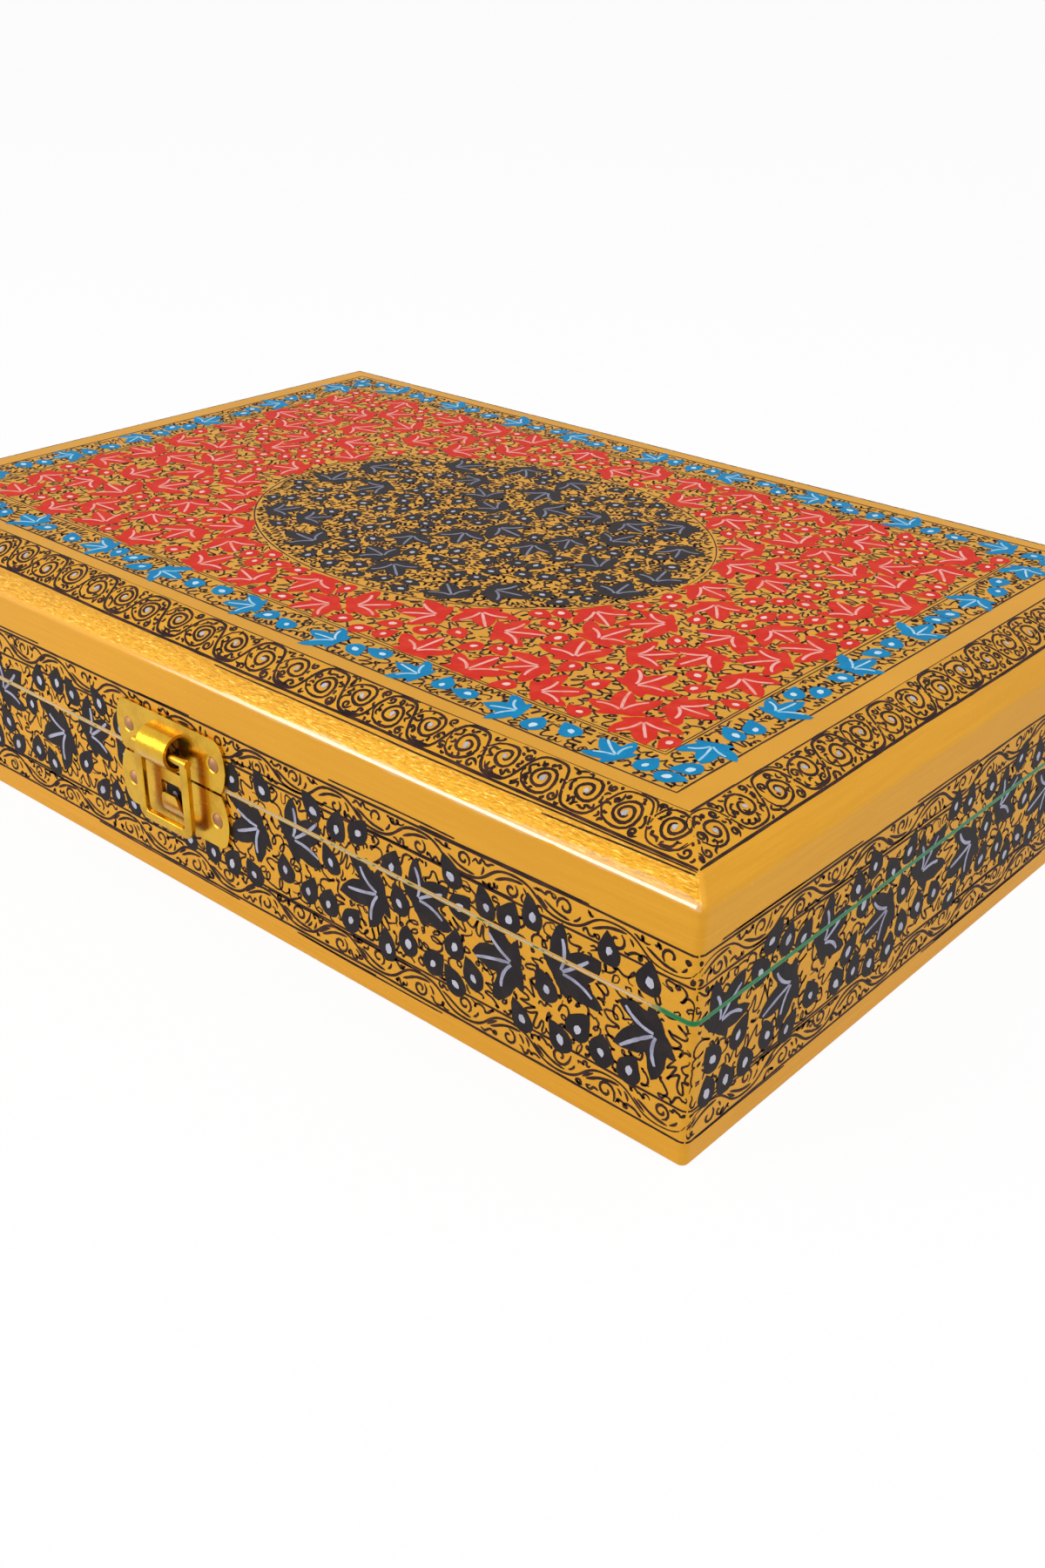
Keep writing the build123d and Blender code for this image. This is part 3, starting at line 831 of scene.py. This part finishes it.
def ruled(film, start, end, pen, drift=0.14):
    """A line drawn along a straight edge by hand, so it wanders a little and swells with the ink. Its points are
    closer at the ends, where it bends round a corner of the box."""
    start, end, length, across = measured(start, end)
    bend = min(2.4, length / 3)
    ends = np.linspace(0, bend, 7)
    middle = np.linspace(bend, length - bend, max(2, int(length / 2.5)))[1:-1]
    t = np.concatenate([ends, middle, length - ends[::-1]]) / length
    drift = sum(
        drift / waves * np.sin(waves * t * length / 21 + chance.uniform(0, whole_turn)) for waves in (1, 2.3, 5.1)
    )
    film.stroke(start + (end - start) * t[:, None] + across * drift[:, None], pen, 0.7)


def retouched(film, start, end, pen, beside):
    """A ruled line with stretches of it drawn twice."""
    ruled(film, start, end, pen)
    start, end, length, across = measured(start, end)
    for _ in range(int(length / 90) + 1):
        first = chance.uniform(0, 0.85)
        last = min(1.0, first + chance.uniform(18, 55) / length)
        shift = across * beside * chance.uniform(0.6, 1.4)
        ruled(film, start + (end - start) * first + shift, start + (end - start) * last + shift, pen * 0.7)


print("lines at heights", side_lines)

# %% [markdown]
# A vine band is built from one sine wave, made fuller so that it runs round what lies in its bends. The vine is drawn
# three times, a little apart, so that its lines run together at the crests and part on the slopes. In the hollow of
# each bend lies a curl with two arcs round it, and squiggles fill the rest. All of them are sketched, so they stop
# where something else is already drawn.

# %% The vine bands
vine_wave, vine_pen = 25.0, 0.72


def fuller(wave, fullness):
    """A sine wave with broader crests and hollows."""
    return np.tanh(fullness * wave) / math.tanh(fullness)


def vine_band(film, offset, half, low, high):
    mat = Mat((offset - half, low), (offset + half, high))
    mat.close_edges(low + 0.5, high - 0.5)
    mat.close(np.abs(mat.x - offset) > half)
    middle, rise = (low + high) / 2, (high - low) / 2 - 1.0
    first, length = offset - half, 2 * half
    bends = 2 * round(length / vine_wave)
    step = length / bends
    x = np.linspace(first, first + length, bends * 14)
    for shift, share in ((0.0, 1.0), (0.95, 0.88), (2.5, 0.62)):
        y = middle + rise * share * fuller(np.sin(math.pi * (x - first - shift) / step), 1.2)
        sketch(mat, film, np.stack([x, y], 1), vine_pen, 0.3)
    for bend in range(bends):
        side = 1 if bend % 2 == 0 else -1
        centre = np.array([first + (bend + 0.5) * step + chance.uniform(-0.6, 0.6), middle - side * rise * 0.42])
        hook = turned(curl(chance.uniform(2.1, 2.7), chance.uniform(1.1, 1.6)), chance.uniform(-0.5, 0.5))
        sketch(mat, film, hook * (chance.choice((-1, 1)), side) + centre, vine_pen, 0.3)
        for reach in (3.4, 4.7):
            angle = np.linspace(0.1, math.pi - 0.1, 16) + chance.uniform(-0.2, 0.2)
            sketch(mat, film, polar(reach, angle) * (1.15, 0.8 * side) + centre, vine_pen * 0.85, 0.45)
    wander(mat, film, vine_pen * 0.9, reach=1.2, pitches=(2.0, 3.2), starts=int(length * 5), longest=6.0)


print("vine waves of", vine_wave, "mm")

# %% [markdown]
# The leaves of a side stand in two rows and point by turns to the right and to the left. Buds fall in the gaps, but
# not on the round corners of the box. The pen work is drawn last and runs round both.

# %% Lay out the sides
side_ink, side_coat = Film(), Coat()
side_pen, line_pen = 0.64, 0.66
leaf_spacing = 18.6
leaf_heights, leaf_angles = (32.4, 25.8), (0.62, 3.5)
round_corner, leaf_set_in = 2.2, 1.2

for number, side in enumerate(sides):
    offset, half = number * drawing_pitch, side["half"]
    for height, beside in zip(side_lines, (0.8, 0.8, -0.8, -0.8)):
        retouched(side_ink, (offset - half, height), (offset + half, height), line_pen, beside)
    vine_band(side_ink, offset, half, side_lines[1], side_lines[0])
    vine_band(side_ink, offset, half, side_lines[3], side_lines[2])
    field = Mat((offset - half, side_lines[2]), (offset + half, side_lines[1]))
    corners = np.abs(field.x - offset) > half - round_corner
    field.close(corners)
    leaves = round(2 * half / leaf_spacing)
    row = half - leaf_set_in
    for leaf in range(leaves):
        kind = leaf % 2
        across = offset - row + (leaf + 0.5) * 2 * row / leaves + chance.uniform(-1.0, 1.0)
        centre = across, leaf_heights[kind] + chance.uniform(-0.7, 0.7)
        angle = leaf_angles[kind] + chance.uniform(-0.25, 0.25)
        scale = chance.uniform(0.93, 1.02)
        paint_leaf(side_coat, field, *leaf_outline(centre, angle, scale), angle, scale)
    buds = scatter_buds(side_coat, field, scale=1.12, drop_scale=1.35, wanted=int(half * 0.9), tries=6000, lean=0.7)
    field.taken &= ~corners
    field.close_edges(side_lines[2] + 0.5, side_lines[1] - 0.5)
    field.close(np.abs(field.x - offset) > half)
    marks = wander(field, side_ink, side_pen * 0.9, reach=2.5, pitches=(2.2, 3.8), starts=int(half * 30))
    marks += doodle(field, side_ink, side_pen, small_curl, tries=int(half * 0.5))
    marks += doodle(field, side_ink, side_pen, small_tick, tries=int(half * 0.8))
    print(side["name"], "leaves", leaves, "buds", buds, "pen marks", marks)

# %% [markdown]
# ## The crown
# The band of spirals lies on the curved slope round the lid. It is laid out on the slope rolled flat: X runs along
# the side and Y is the distance up the curve from the lid's edge. The curve is the arc of a circle through the lid's
# edge and the rim of the flat top, so its radius follows from its chord and its bulge. At each end the next side's
# slope cuts the band off along the mitre.

# %% The crown's curve
chord = math.hypot(crown_run, crown_rise)
crown_radius = (chord**2 / 4 + crown_bulge**2) / (2 * crown_bulge)
chord_normal = np.array([-crown_rise, crown_run]) / chord
crown_centre = np.array([crown_run, crown_rise]) / 2 - chord_normal * (crown_radius - crown_bulge)
crown_start = math.atan2(-crown_centre[1], -crown_centre[0])


def crown_point(distance):
    """How far in from the side, and how high above the lid's edge, a place on the slope lies."""
    angle = crown_start - distance / crown_radius
    return crown_centre[0] + crown_radius * np.cos(angle), crown_centre[1] + crown_radius * np.sin(angle)


def crown_distance(inset):
    return crown_radius * (crown_start - math.acos((inset - crown_centre[0]) / crown_radius))


foot_inset, head_inset = 4.9, crown_run - 0.1
scroll_foot, scroll_head = crown_distance(foot_inset), crown_distance(head_inset)
print("crown radius", round(crown_radius, 2), "scroll band", round(scroll_foot, 2), "to", round(scroll_head, 2))

# %% [markdown]
# Spirals stand in a row, one nearer the lid's edge and the next nearer the flat top, and a vine weaves between them,
# over one and under the next. Each spiral grows out of the vine where the vine crosses the middle of the band, is
# wound about twice, and holds a blot of white. Here and there the vine was drawn over a second time. On the short
# sides the spirals have half a turn less, and the line along the flat top is heavier. On the long sides two shorter
# lines run along the foot of the band.

# %% Lay out the crown
crown_ink, crown_dots = Film(), Film()
spiral_pitch, spiral_shift = 10.4, 0.5
foot_pen, head_pens, crown_pens = 0.7, (0.42, 0.6), (0.76, 0.7)
wave_points = 14


def spiral(size, turns, way):
    """A spiral that leaves the vine at its left and winds in to its middle."""
    t = np.linspace(0, 1, int(turns * 16))
    angle = math.pi + way * (2 * math.pi * turns * t - 0.25)
    reach = size * (1 - 0.8 * t**0.9) + (spiral_pitch / 2 - size) * np.clip(1 - 7 * t, 0, 1)
    quick, slow = (np.sin(angle * waves + chance.uniform(0, whole_turn)) for waves in (3, 1.4))
    return polar(reach * (1 + 0.05 * quick + 0.04 * slow), angle)


for number, side in enumerate(sides):
    is_short = number % 2
    offset, half, pen = number * drawing_pitch, side["half"], crown_pens[is_short]
    foot_half, head_half = half - crown_point(scroll_foot)[0], half - crown_point(scroll_head)[0]
    ruled(crown_ink, (offset - foot_half, scroll_foot), (offset + foot_half, scroll_foot), foot_pen)
    if not is_short:
        for below, share in ((1.3, 0.45), (2.0, 0.12)):
            first = offset + foot_half - 2 * foot_half * share
            ruled(crown_ink, (first, scroll_foot - below), (offset + foot_half, scroll_foot - below * 0.6), 0.36)
    ruled(crown_ink, (offset - head_half, scroll_head), (offset + head_half, scroll_head), head_pens[is_short])
    band = Mat((offset - foot_half, scroll_foot), (offset + foot_half, scroll_head))
    band.close(np.abs(band.x - offset) > half - crown_point(band.y)[0] - 0.3)
    band.close_edges(scroll_foot + 0.6, scroll_head - 0.5)
    middle, rise = (scroll_foot + scroll_head) / 2, (scroll_head - scroll_foot) / 2 - 0.65
    run_half = half - crown_point(middle)[0]
    spirals = 2 * round(run_half / spiral_pitch)
    pitch = 2 * run_half / spirals
    for turn in range(spirals):
        way = 1 if turn % 2 == 0 else -1
        centre = np.array([
            offset - run_half + (turn + 0.5) * pitch + chance.uniform(-0.3, 0.3),
            middle - way * spiral_shift + chance.uniform(-0.2, 0.2),
        ])
        line = spiral(chance.uniform(3.5, 4.1), chance.uniform(1.8, 2.5) - 0.5 * is_short, way) + centre
        crown_ink.stroke(line, pen)
        band.cover_line(line, pen / 2 + 0.35)
        blot = turned(swollen(dot_stamp, 0.2) * chance.uniform(0.7, 1.0), chance.uniform(0, whole_turn))
        crown_dots.shape(blot, centre)
        band.cover_shape(blot, centre, 0.4)
    x = np.linspace(-run_half + 0.5, run_half - 0.5, spirals * wave_points)
    vine = np.stack([offset + x, middle + rise * fuller(np.sin(math.pi * (x + run_half) / pitch), 2.1)], 1)
    crown_ink.stroke(vine, pen)
    band.cover_line(vine, pen / 2 + 0.35)
    for turn in range(spirals):
        first = turn * wave_points + int(chance.integers(0, 6))
        if chance.random() < 0.6:
            crown_ink.stroke(vine[first : first + 9] + (0.7, 0.5), pen * 0.7)
    marks = doodle(band, crown_ink, pen * 0.9, small_curl, tries=int(half * 0.7), air=0.3)
    marks += wander(band, crown_ink, pen * 0.85, reach=1.0, pitches=(1.6, 2.4), starts=int(half * 3), longest=3.5)
    marks += doodle(band, crown_ink, pen * 0.9, small_tick, tries=int(half * 2.4), air=0.25)
    print(side["name"], "spirals", spirals, "pen marks", marks)

# %% [markdown]
# ## The flat top
# From its edge inwards the top has a plain gold strip, a band of blue leaves and buds between thin lines, a field of
# red leaves, and an oval of charcoal leaves in the middle. The drawing is the top itself seen from above.

# %% Rule the top
top_corners = (-flat_half_length, -flat_half_width), (flat_half_length, flat_half_width)
band_width, line_gap = 10.9, 0.9
band_outer = (flat_half_length - 5.8, flat_half_width - 4.1)
band_inner = (band_outer[0] - band_width, band_outer[1] - band_width)
second_line = (band_inner[0] - line_gap, band_inner[1] - line_gap)
oval_centre, oval_reach = (3.0, 0.0), (66.5, 53.0)
top_ink, red_coat, blue_coat, oval_coat = Film(), Coat(), Coat(), Coat()


def edges_of(reach):
    """The four edges of a rectangle about the middle, each as two corners."""
    corners = [(-reach[0], -reach[1]), (reach[0], -reach[1]), reach, (-reach[0], reach[1])]
    return zip(corners, corners[1:] + corners[:1])


def rectangle(mat, reach, grow=0.0):
    return (np.abs(mat.x) < reach[0] + grow) & (np.abs(mat.y) < reach[1] + grow)


def oval(mat, grow):
    x = (mat.x - oval_centre[0]) / (oval_reach[0] + grow)
    y = (mat.y - oval_centre[1]) / (oval_reach[1] + grow)
    return x**2 + y**2 < 1


for reach, pen in ((band_outer, 0.52), (band_inner, 0.36), (second_line, 0.3)):
    for start, end in edges_of(reach):
        ruled(top_ink, start, end, pen, 0.1)
top_ink.stroke(polar(1, np.linspace(0, 2 * math.pi, 260)) * oval_reach + oval_centre, pen=0.4)
print("blue band", [round(2 * x, 1) for x in band_outer], "to", [round(2 * x, 1) for x in band_inner])

# %% Lay out the blue band
top_pen = 0.52
blue_scale, blue_spacing = 0.68, 28.5
band = Mat(*top_corners)
band.close(~rectangle(band, band_outer, -0.5) | rectangle(band, band_inner, 0.4))
for start, end in edges_of(((band_outer[0] + band_inner[0]) / 2, (band_outer[1] + band_inner[1]) / 2)):
    start, end, length, _ = measured(start, end)
    leaves = round(length / blue_spacing)
    heading = math.atan2(*(end - start)[::-1])
    for leaf in range(leaves):
        centre = start + (end - start) * (leaf + 0.5 + chance.uniform(-0.08, 0.08)) / leaves
        angle = heading + chance.choice((0, math.pi)) + chance.uniform(-0.5, 0.5)
        paint_leaf(blue_coat, band, *leaf_outline(centre, angle, blue_scale), angle, blue_scale)
buds = scatter_buds(blue_coat, band, scale=0.96, drop_scale=1.15, wanted=90, tries=9000)
marks = wander(band, top_ink, top_pen, reach=1.7, pitches=(1.5, 2.6), starts=6000, longest=9.0)
marks += doodle(band, top_ink, top_pen, small_curl, tries=160)
print("blue buds", buds, "pen marks", marks)

# %% [markdown]
# In the two fields the leaves are turned every way and packed close. For each leaf many places are looked at. Of those
# that have room, it takes the snuggest: the one with most of its surroundings covered already. Leaves and buds may
# touch the lines round the red field, so its edges are closed in two steps: before the leaves along the lines, and
# before the pen work a little inside them.

# %% Lay out the red field and the oval
def pack_leaves(coat, mat, wanted, scale, looks):
    for painted in range(wanted):
        best, snuggest = None, 0.0
        for centre in mat.bare_points(looks):
            angle, size = chance.uniform(0, 2 * math.pi), scale * chance.uniform(0.94, 1.06)
            outline, joint = leaf_outline(centre, angle, size)
            if mat.has_room(outline, joint, apart):
                crowding = mat.crowding(outline, joint, 2.5)
                if crowding >= snuggest:
                    best, snuggest = (outline, joint, angle, size), crowding
        if best is None:
            return painted
        paint_leaf(coat, mat, *best)
    return wanted


field = Mat(*top_corners)
field.close(~rectangle(field, band_inner, 0.4) | oval(field, -0.6))
leaves = pack_leaves(red_coat, field, wanted=110, scale=0.88, looks=300)
buds = scatter_buds(red_coat, field, scale=0.94, drop_scale=1.15, wanted=320, tries=20000)
field.close(~rectangle(field, band_inner, -1.2) | oval(field, 0.6))
marks = wander(field, top_ink, top_pen, reach=2.1, pitches=(2.0, 3.2), starts=14000)
marks += doodle(field, top_ink, top_pen, small_curl, tries=500)
marks += doodle(field, top_ink, top_pen, small_tick, tries=500)
print("red field: leaves", leaves, "buds", buds, "pen marks", marks)

oval_pen, oval_nib = 0.6, 0.55
field = Mat(*top_corners)
field.close(~oval(field, -0.6))
leaves = pack_leaves(oval_coat, field, wanted=36, scale=0.8, looks=30)
buds = scatter_buds(oval_coat, field, scale=0.86, drop_scale=0.95, wanted=110, tries=8000)
marks = wander(field, top_ink, oval_pen, reach=1.4, pitches=(1.5, 2.3), starts=9000)
marks += doodle(field, top_ink, oval_nib, small_curl, tries=300)
marks += doodle(field, top_ink, oval_nib, small_tick, tries=400)
print("oval: leaves", leaves, "buds", buds, "pen marks", marks)

# %% [markdown]
# ## Lay the films on the box
# A drawing becomes paint when its points are moved onto the surface. The flat top needs no more than a height. For
# the sides and the crown each point is first put a little outside the place where it belongs, and then dropped onto
# the nearest spot of the boards, so that it follows the rounded corners. A BVH tree finds that spot quickly. The
# field on the sides crosses the joint, so it is cut there: one part rides on the lid, the other on the base.

# %% Drop points onto the boards
def boards_tree(names):
    corners, faces = [], []
    for name in names:
        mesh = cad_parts[name].data
        first = len(corners)
        corners.extend(vertex.co.copy() for vertex in mesh.vertices)
        faces.extend([first + corner for corner in polygon.vertices] for polygon in mesh.polygons)
    return BVHTree.FromPolygons(corners, faces)


trees = {
    "base": boards_tree([name for name in walls if name.startswith("base")]),
    "lid": boards_tree([name for name in walls if name.startswith("lid")] + mouldings),
}
outside, strip_height = 0.3, 60


def side_of(points):
    number = np.round(points[:, 0] / drawing_pitch).astype(int)
    return number, points[:, 0] - number * drawing_pitch


def raised(number, along, inset, height):
    """Points given by side, place along it, distance in from it, and height, in metres."""
    out, way, away = (np.array([side[key] for side in sides])[number] for key in ("out", "along", "away"))
    flat = way * along[:, None] + out * (away - inset)[:, None]
    return np.column_stack([flat, height]) * mm


def place_on_sides(points):
    number, along = side_of(points)
    return raised(number, along, np.full(len(points), -outside), points[:, 1])


def place_on_crown(points):
    number, along = side_of(points)
    inset, rise = crown_point(points[:, 1])
    angle = crown_start - points[:, 1] / crown_radius
    return raised(number, along, inset + outside * np.cos(angle), arris + rise + outside * np.sin(angle))


def dropped(points, tree, lift):
    """Points moved onto the nearest spot of the boards, and lifted off it by lift millimetres."""
    landed = np.zeros_like(points)
    for index, point in enumerate(points):
        spot, normal, _, _ = tree.find_nearest(point)
        landed[index] = spot + normal * lift * mm
    return landed


print("trees for", sorted(trees))

# %% Make a film into a piece
def cut_at(mesh, height, keep_above):
    """Keep only what lies above, or below, a height of the drawing."""
    form = bmesh.new()
    form.from_mesh(mesh)
    bmesh.ops.triangulate(form, faces=[face for face in form.faces if len(face.verts) > 4])
    bmesh.ops.bisect_plane(
        form,
        geom=form.verts[:] + form.edges[:] + form.faces[:],
        plane_co=(0, height, 0),
        plane_no=(0, 1, 0),
        clear_inner=keep_above,
        clear_outer=not keep_above,
    )
    form.to_mesh(mesh)
    form.free()


def unfold(mesh, flat, is_top):
    """Give a film its own flat drawing as its UV map. The four sides lie in four strips, one above the other."""
    number, along = side_of(flat)
    if is_top:
        uv = flat / (2 * flat_half_length, 2 * flat_half_width) + 0.5
    else:
        uv = np.column_stack([along / (2 * half_length) + 0.5, (number + flat[:, 1] / strip_height) / len(sides)])
    corners = np.zeros(len(mesh.loops), int)
    mesh.loops.foreach_get("vertex_index", corners)
    mesh.uv_layers.new(name="OFBake").data.foreach_set("uv", np.clip(uv[corners], 0, 1).ravel())


def lay(film, name, body, place, lift, finish, cut=None):
    """Lay a film on the box as one piece that rides on a body. cut is the height where the joint ends it."""
    mesh = bpy.data.meshes.new(name)
    drawn = np.vstack(film.points)
    mesh.from_pydata(np.column_stack([drawn, np.zeros(len(drawn))]).tolist(), [], film.faces)
    if cut is not None:
        cut_at(mesh, cut, body == "lid")
    flat = np.zeros(len(mesh.vertices) * 3)
    mesh.vertices.foreach_get("co", flat)
    flat = flat.reshape(-1, 3)[:, :2]
    if place is None:
        solid = np.column_stack([flat * mm, np.full(len(flat), (top_height + lift) * mm)])
    else:
        solid = dropped(place(flat), trees[body], lift)
    mesh.vertices.foreach_set("co", solid.ravel())
    mesh.update()
    unfold(mesh, flat, place is None)
    piece = bpy.data.objects.new(name, mesh)
    scene.collection.objects.link(piece)
    mesh.materials.append(finish.material)
    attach(piece, body)
    print(name, "faces", len(mesh.polygons))


print("a side's strip in the UV map is", strip_height, "mm high")

# %% [markdown]
# ## Paints
# Each paint gets the little that tells it from a flat colour. Brush paint pools, so it is darker in soft patches. Pen
# ink runs from near black to a warm brown where the nib was dry. The pale veins let some of the leaf through where the
# brush was lifted. The paints are duller than the gold, since they sink in, so they get no coat.

# %% Mix the paints
def brush_paint(name, full, thin):
    paint = Finish(name, Specular_IOR_Level=0.1)
    pools = paint.noise(210.0, 3.0, 0.6)
    bristles = paint.noise(1400.0)
    paint.put("Base Color", paint.blend(linear(*full), linear(*thin), paint.between(pools, 0.4, 0.72) * 0.7))
    paint.put("Roughness", 0.5 + pools * 0.16)
    paint.relief(pools * 0.6 + bristles * 0.4, 0.00004)
    return paint


paints = [
    brush_paint(name, full, thin)
    for name, full, thin in (
        ("pen_ink", (44, 26, 26), (80, 52, 42)),
        ("charcoal_paint", (34, 28, 30), (50, 42, 42)),
        ("red_paint", (208, 36, 20), (218, 64, 38)),
        ("blue_paint", (0, 124, 176), (0, 142, 192)),
        ("grey_vein_paint", (168, 168, 190), (118, 116, 134)),
        ("pink_vein_paint", (238, 176, 166), (228, 124, 106)),
        ("sky_vein_paint", (182, 216, 232), (96, 178, 218)),
        ("dim_vein_paint", (132, 132, 150), (100, 98, 112)),
        ("grey_drop_paint", (186, 186, 200), (150, 150, 166)),
        ("pink_drop_paint", (240, 206, 200), (226, 176, 166)),
        ("sky_drop_paint", (202, 226, 238), (160, 204, 226)),
    )
]
ink, charcoal, red, blue, grey_vein, pink_vein, sky_vein, dim_vein, grey_drop, pink_drop, sky_drop = paints
print("paints mixed:", len(paints))

# %% [markdown]
# The ink goes on first, the leaves over it, and the veins and drops over the leaves. Where two films lay at the same
# height, a render would show now one and now the other. So on the top, where a leaf of one colour may touch one of
# another, each colour lies a thin coat higher than the one before.

# %% Paint the sides, the crown and the top
ink_lift, leaf_lift, vein_lift = 0.03, 0.05, 0.07
coat_step = 0.006


def lay_coat(coat, name, body, place, lift, finishes, cut=None):
    """Lay the leaves, the veins and the drops of a coat, in their three finishes."""
    for kind, height, finish in zip(("leaves", "veins", "drops"), (leaf_lift, vein_lift, vein_lift), finishes):
        lay(getattr(coat, kind), f"{name}_{kind}", body, place, height + lift, finish, cut)


for body, cut in (("base", base_edge), ("lid", lid_edge)):
    lay(side_ink, f"{body}_side_pen_work", body, place_on_sides, ink_lift, ink, cut)
    lay_coat(side_coat, f"{body}_side", body, place_on_sides, 0, (charcoal, grey_vein, grey_drop), cut)
lay(crown_ink, "crown_scroll_pen_work", "lid", place_on_crown, ink_lift, ink)
lay(crown_dots, "crown_scroll_drops", "lid", place_on_crown, vein_lift, grey_drop)
lay(top_ink, "top_pen_work", "lid", None, ink_lift, ink)
lay_coat(red_coat, "top_red", "lid", None, 0, (red, pink_vein, pink_drop))
lay_coat(blue_coat, "top_blue", "lid", None, coat_step, (blue, sky_vein, sky_drop))
lay_coat(oval_coat, "top_oval", "lid", None, 2 * coat_step, (charcoal, dim_vein, grey_drop))

# %% [markdown]
# ## Velvet lining
# What tells velvet from felt is its sheen, which is brightest where the surface turns away, and the soft patches where
# the pile lies another way. The pile itself is a very fine noise in colour, roughness and bump.

# %% Velvet
def velvet_cloth():
    velvet = Finish(
        "velvet",
        Sheen_Weight=0.7,
        Sheen_Roughness=0.35,
        Sheen_Tint=linear(120, 214, 160),
        Specular_IOR_Level=0.1,
    )
    pile = velvet.noise(1700.0)
    brushed = velvet.noise(34.0, 3.0, 0.6, distortion=0.7)
    turned_over = velvet.between(brushed, 0.42, 0.6)
    green = velvet.blend(linear(8, 78, 47), linear(16, 98, 62), turned_over * 0.8)
    velvet.put("Base Color", velvet.blend(green, linear(30, 126, 84), velvet.between(pile, 0.55, 0.75) * 0.5))
    velvet.put("Roughness", 0.8 + pile * 0.15)
    velvet.relief(pile * 0.8 + brushed * 0.4, 0.00025)
    return velvet


velvet = velvet_cloth()
print("velvet mixed")

# %% [markdown]
# Four sheets of thin velvet are glued into the box: one on the floor, a strip round the base's sides, a strip round
# the lid's sides, and one that lines the hollow of the crown. Each starts as a grid of quads in the middle of the
# cloth's thickness. A strip keeps only the grid's outer loop of edges and pulls it up in steps. The crown's sheet
# keeps the grid and pulls its outer loop down and outwards. A faint swell from a cloud texture and the thickness of
# the cloth come last.

# %% Cut and glue the sheets
cloth_gap, cloth_thickness, seam_gap = 0.5, 0.6, 0.1
floor_play, floor_rise = 0.4, 0.42
swell_height, edge_radius = 0.2, 0.2
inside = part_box("base_floor_velvet")
inside_length, inside_width = 2 * inside[1].x / mm, 2 * inside[1].y / mm


def start_sheet(name, length, width, height):
    """A level grid of quads at a height, left in edit mode with all of it selected."""
    bpy.ops.object.select_all(action="DESELECT")
    bpy.ops.mesh.primitive_grid_add(x_subdivisions=72, y_subdivisions=48, size=1)
    sheet = bpy.context.object
    sheet.name = name
    bpy.ops.object.mode_set(mode="EDIT")
    bpy.ops.transform.resize(value=(length * mm, width * mm, 1), center_override=(0, 0, 0))
    bpy.ops.transform.translate(value=(0, 0, height * mm))
    return sheet


def pull(rise, steps, grow=(1.0, 1.0)):
    """Extrude the selected loop of edges up or down in steps, and let it grow by a factor in all."""
    for _ in range(steps):
        bpy.ops.mesh.extrude_region_move(TRANSFORM_OT_translate={"value": (0, 0, rise * mm / steps)})
        factors = (grow[0] ** (1 / steps), grow[1] ** (1 / steps), 1)
        bpy.ops.transform.resize(value=factors, center_override=(0, 0, 0))


def end_sheet(sheet, body, flat, node):
    bpy.ops.mesh.select_all(action="SELECT")
    bpy.ops.mesh.normals_make_consistent(inside=False)
    bpy.ops.object.mode_set(mode="OBJECT")
    swell = bpy.data.textures.new(sheet.name + "_swell", "CLOUDS")
    swell.noise_scale = 0.035
    displace = sheet.modifiers.new("swell", "DISPLACE")
    displace.texture, displace.strength, displace.mid_level = swell, swell_height * mm, 0.5
    solidify = sheet.modifiers.new("thickness", "SOLIDIFY")
    solidify.thickness, solidify.offset = cloth_thickness * mm, 0
    bevel = sheet.modifiers.new("soft_edge", "BEVEL")
    bevel.width, bevel.segments, bevel.angle_limit = edge_radius * mm, 2, math.radians(40)
    for modifier in ("swell", "thickness", "soft_edge"):
        bpy.ops.object.modifier_apply(modifier=modifier)
    bpy.ops.object.shade_smooth_by_angle(angle=math.radians(35))
    sheet.data.materials.append(velvet.material)
    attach(sheet, body)
    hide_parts(node)
    print(sheet.name, "faces", len(sheet.data.polygons), "cut to", [round(size / mm, 1) for size in flat])


def wall_strip(name, body, node):
    """The strip of velvet round four walls."""
    low, high = (corner.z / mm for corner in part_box(node))
    strip = start_sheet(name, inside_length - 2 * cloth_gap, inside_width - 2 * cloth_gap, low + seam_gap)
    bpy.ops.mesh.region_to_loop()
    bpy.ops.mesh.select_all(action="INVERT")
    bpy.ops.mesh.delete(type="VERT")
    bpy.ops.mesh.select_all(action="SELECT")
    pull(high - low - seam_gap, 8)
    flat = ((2 * inside_length + 2 * inside_width) * mm, (high - low) * mm)
    end_sheet(strip, body, flat, node)


floor_height = inside[0].z / mm
floor_size = inside_length - floor_play, inside_width - floor_play
floor_cloth = start_sheet("floor_velvet", *floor_size, floor_height + floor_rise)
end_sheet(floor_cloth, "base", (inside_length * mm, inside_width * mm), "base_floor_velvet")
wall_strip("base_side_velvet", "base", "base_wall_velvet")
wall_strip("lid_side_velvet", "lid", "lid_wall_velvet")

# %% Line the crown
crown_foot, panel_underside = (corner.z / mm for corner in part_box("lid_crown_velvet"))
tray_length, tray_width = 2 * (flat_half_length - cloth_gap), 2 * (flat_half_width - cloth_gap)
crown_cloth = start_sheet("crown_velvet", tray_length, tray_width, panel_underside - cloth_gap)
bpy.ops.mesh.region_to_loop()
grow = ((inside_length - 2 * cloth_gap) / tray_length, (inside_width - 2 * cloth_gap) / tray_width)
pull(crown_foot + seam_gap - (panel_underside - cloth_gap), 1, grow)
slope = math.hypot((inside_length - tray_length) / 2, panel_underside - crown_foot)
crown_cut = ((tray_length + 2 * slope) * mm, (tray_width + 2 * slope) * mm)
end_sheet(crown_cloth, "lid", crown_cut, "lid_crown_velvet")
